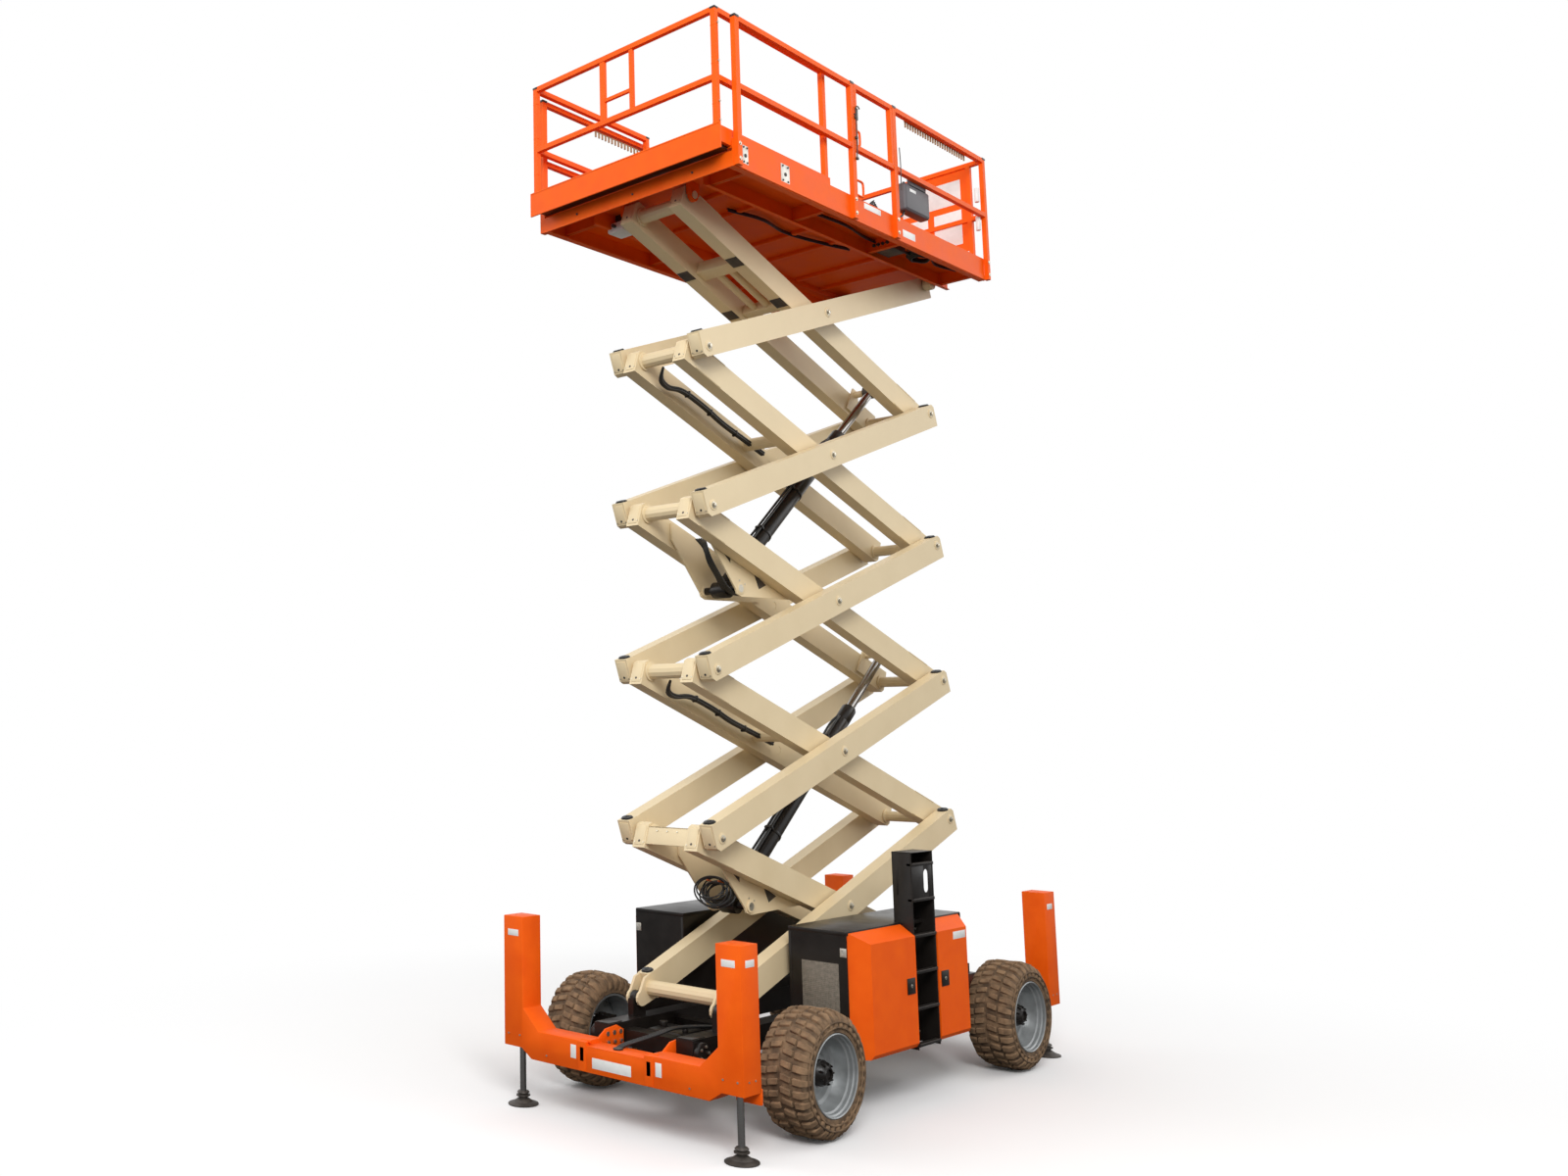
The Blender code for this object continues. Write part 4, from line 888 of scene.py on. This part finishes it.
def rail_fittings():
    """Black post caps, round tube edges, clamps and bolts of the fixed rails."""
    caps, bolts, tube = shapes(3)
    middle = sum(RAIL_X) / 2
    for side, posts in ((1, LEFT_POSTS), (-1, RIGHT_POSTS)):
        for y in posts:
            caps.block((side * (RAIL_X[0] - 0.003), y - 0.028, RAIL_TOP - 0.014),
                (side * (RAIL_X[1] + 0.003), y + 0.028, RAIL_TOP + 0.006), 0.004)
            for z in (SKIRT_LOW + 0.05, SKIRT_HIGH - 0.04):
                bolts.rod("x", (side * RAIL_X[1], y, z), side * (RAIL_X[1] + 0.008), 0.01, 6, 0.001)
                bolts.rod("x", (side * RAIL_X[1], y, z), side * (RAIL_X[1] + 0.0025), 0.015, 20)
        for z in (RAIL_TOP, MID_TOP):
            for y in posts[1:-1]:
                tube.rod("y", (side * middle, y - 0.045, z - 0.0195), y - 0.03, 0.024, 24, 0.002)
    caps.piece("rail_post_caps", RUBBER, "platform")
    bolts.piece("rail_bolts", ZINC, "platform")
    tube.piece("rail_sleeves", ORANGE, "platform")


def comb(name, x, start, end, z):
    """Strip of short teeth that guides the platform's cable along a rail."""
    pitch = 0.042
    strip = Shape()
    strip.block((x - 0.004, start, z - 0.006), (x + 0.004, end, z), 0.001)
    count = round((end - start) / pitch)
    for k in range(count):
        y = start + pitch / 2 + pitch * k
        strip.block((x - 0.006, y - 0.008, z - 0.052), (x + 0.006, y + 0.008, z - 0.002), 0.003)
    strip.piece(name, COMB, "platform")


def skirt_fittings():
    """Silver plates with bolts on the skirt, and the small blank plates behind them."""
    plate, bolt, label = shapes(3)
    for side in (1, -1):
        x = side * SKIRT_X
        for y, width in ((-1.73, 0.035), (-1.23, 0.055)):
            plate.block((x, y - width, SKIRT_LOW + 0.045), (x + side * 0.004, y + width,
                SKIRT_HIGH - 0.015), 0.001)
            for dy in (-0.6, 0.6):
                for z in (SKIRT_LOW + 0.06, SKIRT_HIGH - 0.03):
                    bolt.rod("x", (x + side * 0.003, y + dy * width, z), x + side * 0.01, 0.008, 6,
                        0.001)
            bolt.rod("x", (x + side * 0.003, y, SKIRT_LOW + 0.11), x + side * 0.009, 0.014, 20,
                0.002)
    label.block((0.905, -0.13, DECK - 0.01), (0.9062, 0.12, SKIRT_HIGH - 0.012), LABEL_EDGE)
    label.block((0.905, 0.46, SKIRT_LOW + 0.06), (0.9056, 0.66, SKIRT_LOW + 0.12), LABEL_EDGE)
    for x in (-0.55, 0.0, 0.55):
        bolt.rod("y", (x, -1.8705, SKIRT_LOW + 0.055), -1.8765, 0.009, 6)
    plate.piece("skirt_plates", PLATE, "platform")
    bolt.piece("skirt_bolts", STEEL, "platform")
    label.piece("skirt_labels", LABEL, "platform")


def deck_underside():
    """Cross ribs, cable runs, a junction box, a hose coil and clips under the deck."""
    under = TOP.z + 0.10
    ribs, cable, box, grey = shapes(4)
    for y in (-1.25, -0.85, -0.10, 0.32, 0.95, 1.35):
        ribs.block((-0.40, y - 0.018, under - 0.032), (0.40, y + 0.018, under + 0.001), 0.003)
    for sign in (1, -1):
        for y in (-1.62, -0.55, 0.55, 1.78):
            ribs.block((sign * 0.53, y - 0.02, SKIRT_LOW + 0.03),
                (sign * 0.88, y + 0.02, SKIRT_LOW + 0.035), 0.002)
        ribs.block((sign * 0.518, -1.68, SKIRT_LOW + 0.017),
            (sign * 0.552, 1.92, SKIRT_LOW + 0.022), 0.002)
    runs = (((-0.6, -1.3), (-0.66, -0.9), (-0.6, -0.3), (-0.64, 0.4), (-0.62, 1.5)),
        ((0.2, -0.95), (0.28, -0.6), (0.22, -0.2), (0.3, 0.2), (0.36, 0.55)),
        ((0.62, -0.4), (0.66, 0.0), (0.6, 0.45), (0.66, 0.9), (0.62, 1.25)),
        ((0.7, 0.9), (0.74, 1.2), (0.66, 1.45), (0.72, 1.7)))
    for k, run in enumerate(runs):
        for lift in (0.014, 0.032):
            cable.pipe([(x + 0.4 * (lift - 0.02), y, under - lift - 0.012 * (i % 2)) for i,
                (x, y) in enumerate(run)], 0.008)
    for turn in range(4):
        radius = 0.10 - 0.010 * turn
        cable.pipe([(0.7 + radius * math.cos(a), 1.12 + 1.25 * radius * math.sin(a),
            under - 0.03 - 0.012 * turn + 0.006 * math.sin(3 * a)) for a in (2 * math.pi * i / 18
            for i in range(19))], 0.009)
    grey.block((-0.56, -1.50, under - 0.150), (-0.40, -1.33, under - 0.075), 0.010)
    grey.block((-0.555, -1.495, under - 0.153), (-0.405, -1.335, under - 0.145), 0.004)
    box.block((-0.52, -1.45, under - 0.077), (-0.44, -1.38, under), 0.004)
    box.block((0.58, 0.56, under - 0.10), (0.74, 0.80, under), 0.008)
    for k in range(4):
        box.rod("y", (0.6 + 0.04 * k, 0.53, under - 0.06), 0.56, 0.014, 20, 0.002)
    for y in (-1.53, -1.33):
        box.rod("y", (-0.48, y, under - 0.11), y + 0.03, 0.013, 20, 0.002)
    ribs.piece("deck_ribs", ORANGE, "platform")
    cable.piece("deck_cables", RUBBER, "platform")
    box.piece("deck_valve_block", STEEL, "platform")
    grey.piece("junction_box", LABEL, "platform")


def tread(name, body, rows, start, run, height):
    """Slanted bars, turned one way and the other, over a deck plate."""
    bars = Shape()
    columns, half_width, reach = 14, 0.78, 0.016
    for i in range(rows):
        for j in range(columns):
            x = -half_width + 2 * half_width * j / (columns - 1)
            y = start + run * i / (rows - 1)
            turn = reach if (i + j) % 2 else -reach
            bars.bar((x - reach, y - turn, height), (x + reach, y + turn, height), 0.0032, 6)
    bars.piece(name, ORANGE, body)


def gate_fittings():
    """Hinge knuckles, latch and hand loop of the entry gate."""
    black, orange = shapes(2)
    orange.rod("z", (0.925, 0.298, MID_TOP + 0.06), MID_TOP + 0.11, 0.012, 20, 0.002)
    orange.rod("z", (0.925, 0.298, RAIL_TOP - 0.14), RAIL_TOP - 0.09, 0.012, 20, 0.002)
    black.block((0.935, -0.278, RAIL_TOP - 0.30), (0.950, -0.240, RAIL_TOP - 0.20), 0.005)
    black.rod("y", (0.942, -0.262, RAIL_TOP - 0.26), -0.3, 0.006, 12)
    orange.piece("gate_hinges", ORANGE, "gate")
    black.piece("gate_latch", RUBBER, "gate")


def latch_rods():
    """Bent rods and grab loops at the posts of the gate."""
    rod_x, loop_x = 0.956, 0.925
    rod, loop = shapes(2)
    y = -0.285
    rod.pipe([(0.952, y, MID_TOP - 0.13), (rod_x, y + 0.002, MID_TOP + 0.02),
        (rod_x, y + 0.002, MID_TOP + 0.24), (rod_x, y + 0.004, MID_TOP + 0.3),
        (rod_x, y + 0.03, MID_TOP + 0.315), (rod_x, y + 0.055, MID_TOP + 0.3)], 0.005)
    rod.pipe([(rod_x, 0.37, MID_TOP + 0.16), (0.958, 0.375, MID_TOP + 0.0),
        (rod_x, 0.37, MID_TOP - 0.2)], 0.004)
    for z in (MID_TOP - 0.12, MID_TOP + 0.05, MID_TOP + 0.22):
        rod.block((0.944, y - 0.012, z - 0.010), (0.962, y + 0.012, z + 0.010), 0.003)
    for y0, z0 in ((-0.255, MID_TOP + 0.01), (-0.235, DECK + 0.06)):
        loop.pipe([(loop_x, y0 - 0.03, z0), (loop_x, y0 + 0.045, z0), (loop_x, y0 + 0.065, z0 + 0.02),
            (loop_x, y0 + 0.065, z0 + 0.1), (loop_x, y0 + 0.045, z0 + 0.12),
            (loop_x, y0 - 0.03, z0 + 0.12)], 0.009)
    rod.piece("latch_rods", STEEL, "platform")
    loop.piece("gate_post_loops", ORANGE, "platform")


def control_station():
    """Box with a lid, a blank label, joystick guard and its cable."""
    low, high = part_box("control_box")
    box, label, cable, knobs = shapes(4)
    box.block((high.x - 0.105, 0.548, low.z - 0.002), (high.x - 0.010, 0.952, low.z + 0.235), 0.022, 4)
    box.block((high.x - 0.11, 0.56, low.z + 0.01), (high.x - 0.006, 0.94, low.z + 0.222), 0.012, 3)
    box.block((high.x - 0.03, 0.62, high.z - 0.068), (high.x, 0.88, high.z), 0.004)
    label.block((high.x - 0.0062, 0.62, low.z + 0.165), (high.x - 0.0052, 0.72, low.z + 0.19),
        LABEL_EDGE)
    for k in range(4):
        knobs.rod("z", (high.x - 0.06, 0.62 + 0.08 * k, low.z + 0.23), low.z + 0.262, 0.011, 20,
            0.003)
    cable.pipe([(high.x - 0.05, 0.6, low.z + 0.01), (high.x - 0.055, 0.56, low.z - 0.05),
        (high.x - 0.045, 0.47, low.z - 0.08), (high.x - 0.03, 0.4, low.z - 0.06),
        (high.x - 0.02, 0.36, low.z + 0.04), (high.x - 0.015, 0.345, low.z + 0.3)], 0.008)
    for k in range(6):
        rise = 0.045 + 0.022 * k
        cable.pipe([(0.86 - 0.022 * k, 0.0 + 0.012 * k, DECK + 0.012),
            (0.84 - 0.018 * k, 0.08 + 0.014 * k, DECK + 0.5 * rise + 0.02),
            (0.86 - 0.012 * k, 0.16 + 0.01 * k, DECK + rise + 0.02),
            (0.85 - 0.02 * k, 0.25 - 0.008 * k, DECK + 0.5 * rise + 0.01),
            (0.8 - 0.014 * k, 0.33 - 0.012 * k, DECK + 0.012)], 0.006)
    box.piece("control_case", GREY, "platform", ("control_box",))
    label.piece("control_label", LABEL, "platform")
    knobs.piece("control_knobs", RUBBER, "platform")
    cable.piece("control_cables", RUBBER, "platform")


def rear_panel():
    """Blank sheets on the rear panel, a document tube and a stowed rail end."""
    sheet, tube = shapes(2)
    y = 1.8755
    for x0, x1, z0, z1 in ((0.16, 0.40, 0.24, 0.56), (0.46, 0.72, 0.24, 0.56),
                           (0.16, 0.72, 0.62, 0.84)):
        sheet.block((x0, y - 0.0008, DECK + z0), (x1, y, DECK + z1), LABEL_EDGE)
        sheet.block((x0, y + 0.0035, DECK + z0), (x1, y + 0.0043, DECK + z1), LABEL_EDGE)
    for z in (MID_TOP + 0.10, MID_TOP - 0.16):
        tube.rod("z", (0.895, 1.82, z), z + 0.13, 0.02, 28, 0.004)
    sheet.piece("panel_sheets", LABEL, "platform")
    tube.piece("document_tubes", LABEL, "platform")


def extension_fittings():
    """Caps and clamps on the sliding deck's rails, and a black slab that paints the shade in the slide gap."""
    caps, bolt, slot, tube = shapes(4)
    x, y0, y1 = 0.8572, -1.9882, -0.61
    top, mid = DECK + 1.005, DECK + 0.50
    for side in (1, -1):
        for y in (y0, y1):
            caps.block((side * (x - 0.023), y - 0.023, top - 0.016),
                (side * (x + 0.0225), y + 0.0225, top - 0.0002), 0.003)
        for z in (top - 0.12, mid + 0.10, DECK + 0.30, DECK + 0.16):
            bolt.rod("x", (side * (x + 0.018), y0 + 0.01, z), side * (x + 0.028), 0.009, 6, 0.001)
            tube.block((side * (x - 0.022), y0 - 0.021, z - 0.024),
                (side * (x + 0.0205), y0 + 0.0205, z - 0.016), 0.002)
    # black slab under the deck's front edge: painted shade standing in for the dark slide gap
    slot.block((-0.86, -1.985, DECK - 0.030), (0.86, -1.874, DECK - 0.002), 0.004)
    tube.block((-0.90, -2.0235, DECK + 0.118), (0.90, -2.006, DECK + 0.1305), 0.004)
    caps.piece("extension_caps", RUBBER, "extension")
    bolt.piece("extension_bolts", ZINC, "extension")
    slot.piece("extension_gap_painted_shade", BLACK, "extension")
    tube.piece("extension_trim", ORANGE, "extension")


rail_fittings()
comb("left_comb", 0.895, 0.58, 1.62, RAIL_TOP - 0.030)
comb("right_comb", -0.895, -1.25, 0.10, RAIL_TOP - 0.075)
skirt_fittings()
deck_underside()
tread("deck_tread", "platform", 20, -0.50, 2.28, DECK + 0.0006)
tread("extension_tread", "extension", 12, -1.92, 1.28, DECK + 0.0088)
gate_fittings()
latch_rods()
control_station()
rear_panel()
extension_fittings()


# ---- cylinder fittings ---------------------------------------------------------------
def cylinder_fittings(name):
    """Gland bolts, valve block and hoses along the barrel."""
    _, base, way = cylinder_line(name)
    side = way.cross(Vector((1, 0, 0))).normalized()
    basis = Matrix((Vector((1, 0, 0)), side, way)).transposed().to_4x4()
    place = Matrix.Translation(base) @ basis
    block, hose, bolt = shapes(3, place)
    block.block((-0.045, -0.115, 0.2), (0.045, -0.05, 0.36), 0.006)
    block.rod("x", (0.045, -0.085, 0.28), 0.085, 0.017, 20, 0.003)
    block.block((-0.03, 0.05, 1.95), (0.03, 0.085, 2.05), 0.006)
    for k in (-1, 1):
        hose.pipe([place @ Vector(p) for p in ((0.018 * k, -0.1, 0.36), (0.02 * k, -0.082, 0.55),
            (0.018 * k, -0.078, 1.1), (0.018 * k, -0.078, 1.7), (0.02 * k, -0.08, 2.0),
            (0.01 * k, -0.062, 2.12))], 0.01)
    for z in (0.75, 1.35, 1.85):
        block.rod("z", (0, 0, z - 0.012), z + 0.012, 0.066, 40, 0.002)
        block.block((-0.034, -0.092, z - 0.012), (0.034, -0.05, z + 0.012), 0.004)
    for k in range(8):
        a = 2 * math.pi * k / 8
        x, y = 0.053 * math.cos(a), 0.053 * math.sin(a)
        bolt.rod("z", (x, y, 2.275), 2.286, 0.0065, 6, 0)
    block.piece(f"{name}_valve_block", BLACK, f"{name}_barrel")
    hose.piece(f"{name}_barrel_hoses", RUBBER, f"{name}_barrel")
    bolt.piece(f"{name}_gland_bolts", STEEL, f"{name}_barrel")


for name in ("lower", "upper"):
    cylinder_fittings(name)


# ---- camera, light and floor ---------------------------------------------------------
def pale_floor():
    """Pale floor that runs out into the white background away from the machine."""
    mat = bpy.data.materials.new("pale_floor")
    mat.use_nodes = True
    tree = mat.node_tree
    shader, out = tree.nodes["Principled BSDF"], tree.nodes["Material Output"]
    shader.inputs["Roughness"].default_value = 0.9
    shader.inputs["Specular IOR Level"].default_value = 0.1
    ray, place = add_node(tree, "LightPath"), add_node(tree, "TexCoord")
    tone = add_node(tree, "MapRange", {"To Min": 0.16, "To Max": 0.97})
    reach = add_node(tree, "VectorMath", operation="LENGTH")
    fade = add_node(tree, "MapRange", {"From Min": 2.6, "From Max": 7.5},
        interpolation_type="SMOOTHSTEP")
    white, mix = add_node(tree, "Emission"), add_node(tree, "MixShader")
    both = add_node(tree, "Math", operation="MULTIPLY")
    wire(tree, (ray.outputs["Is Camera Ray"], tone.inputs["Value"]),
        (tone.outputs["Result"], shader.inputs["Base Color"]),
        (place.outputs["Object"], reach.inputs[0]), (reach.outputs["Value"], fade.inputs["Value"]),
        (fade.outputs["Result"], both.inputs[0]), (ray.outputs["Is Camera Ray"], both.inputs[1]),
        (both.outputs[0], mix.inputs[0]), (shader.outputs[0], mix.inputs[1]),
        (white.outputs[0], mix.inputs[2]), (mix.outputs[0], out.inputs["Surface"]))
    return mat


def studio():
    """Camera at the photo's angle, pale floor, white world and three soft lights."""
    camera = bpy.data.objects.new("camera", bpy.data.cameras.new("camera"))
    camera.data.sensor_width = 36
    camera.data.lens = 31.97
    camera.data.shift_x, camera.data.shift_y = 0.2264, -0.0262
    camera.location = (6.340, -9.733, 2.660)
    camera.rotation_euler = (math.radians(97.563), 0, math.radians(47.556))
    camera.data.clip_end = 200
    scene.collection.objects.link(camera)
    scene.camera = camera

    floor = bpy.data.meshes.new("floor")
    floor.from_pydata([(-60, -60, -0.001), (60, -60, -0.001), (60, 60, -0.001), (-60, 60, -0.001)],
        [], [(0, 1, 2, 3)])
    ground = bpy.data.objects.new("floor", floor)
    scene.collection.objects.link(ground)
    floor.materials.append(pale_floor())

    world = bpy.data.worlds.new("studio")
    scene.world = world
    world.use_nodes = True
    tree = world.node_tree
    tree.nodes.clear()
    out = add_node(tree, "OutputWorld")
    lit = add_node(tree, "Background", {"Strength": 0.66, "Color": (1, 1, 1, 1)})
    seen = add_node(tree, "Background", {"Strength": 1.0, "Color": (1, 1, 1, 1)})
    ray, mix = add_node(tree, "LightPath"), add_node(tree, "MixShader")
    first = add_node(tree, "Math", operation="MAXIMUM")
    second = add_node(tree, "Math", operation="MAXIMUM")
    wire(tree, (ray.outputs["Is Camera Ray"], first.inputs[0]),
        (ray.outputs["Is Glossy Ray"], first.inputs[1]), (first.outputs[0], second.inputs[0]),
        (ray.outputs["Is Transmission Ray"], second.inputs[1]), (second.outputs[0], mix.inputs[0]),
        (lit.outputs[0], mix.inputs[1]), (seen.outputs[0], mix.inputs[2]),
        (mix.outputs[0], out.inputs["Surface"]))

    for place, aim, size, power in (((9, -10.5, 10.5), (0, 0, 3.5), 6, 1480),
                                    ((-9, -8, 9), (0, 0, 3), 8, 330),
                                    ((8, 10, 10), (0, 0, 3), 8, 300)):
        lamp = bpy.data.lights.new("softbox", "AREA")
        lamp.size = size
        lamp.energy = power
        holder = bpy.data.objects.new("softbox", lamp)
        holder.location = place
        holder.rotation_euler = (Vector(aim) - Vector(place)).to_track_quat("-Z", "Y").to_euler()
        scene.collection.objects.link(holder)
    scene.view_settings.view_transform = "Standard"


studio()
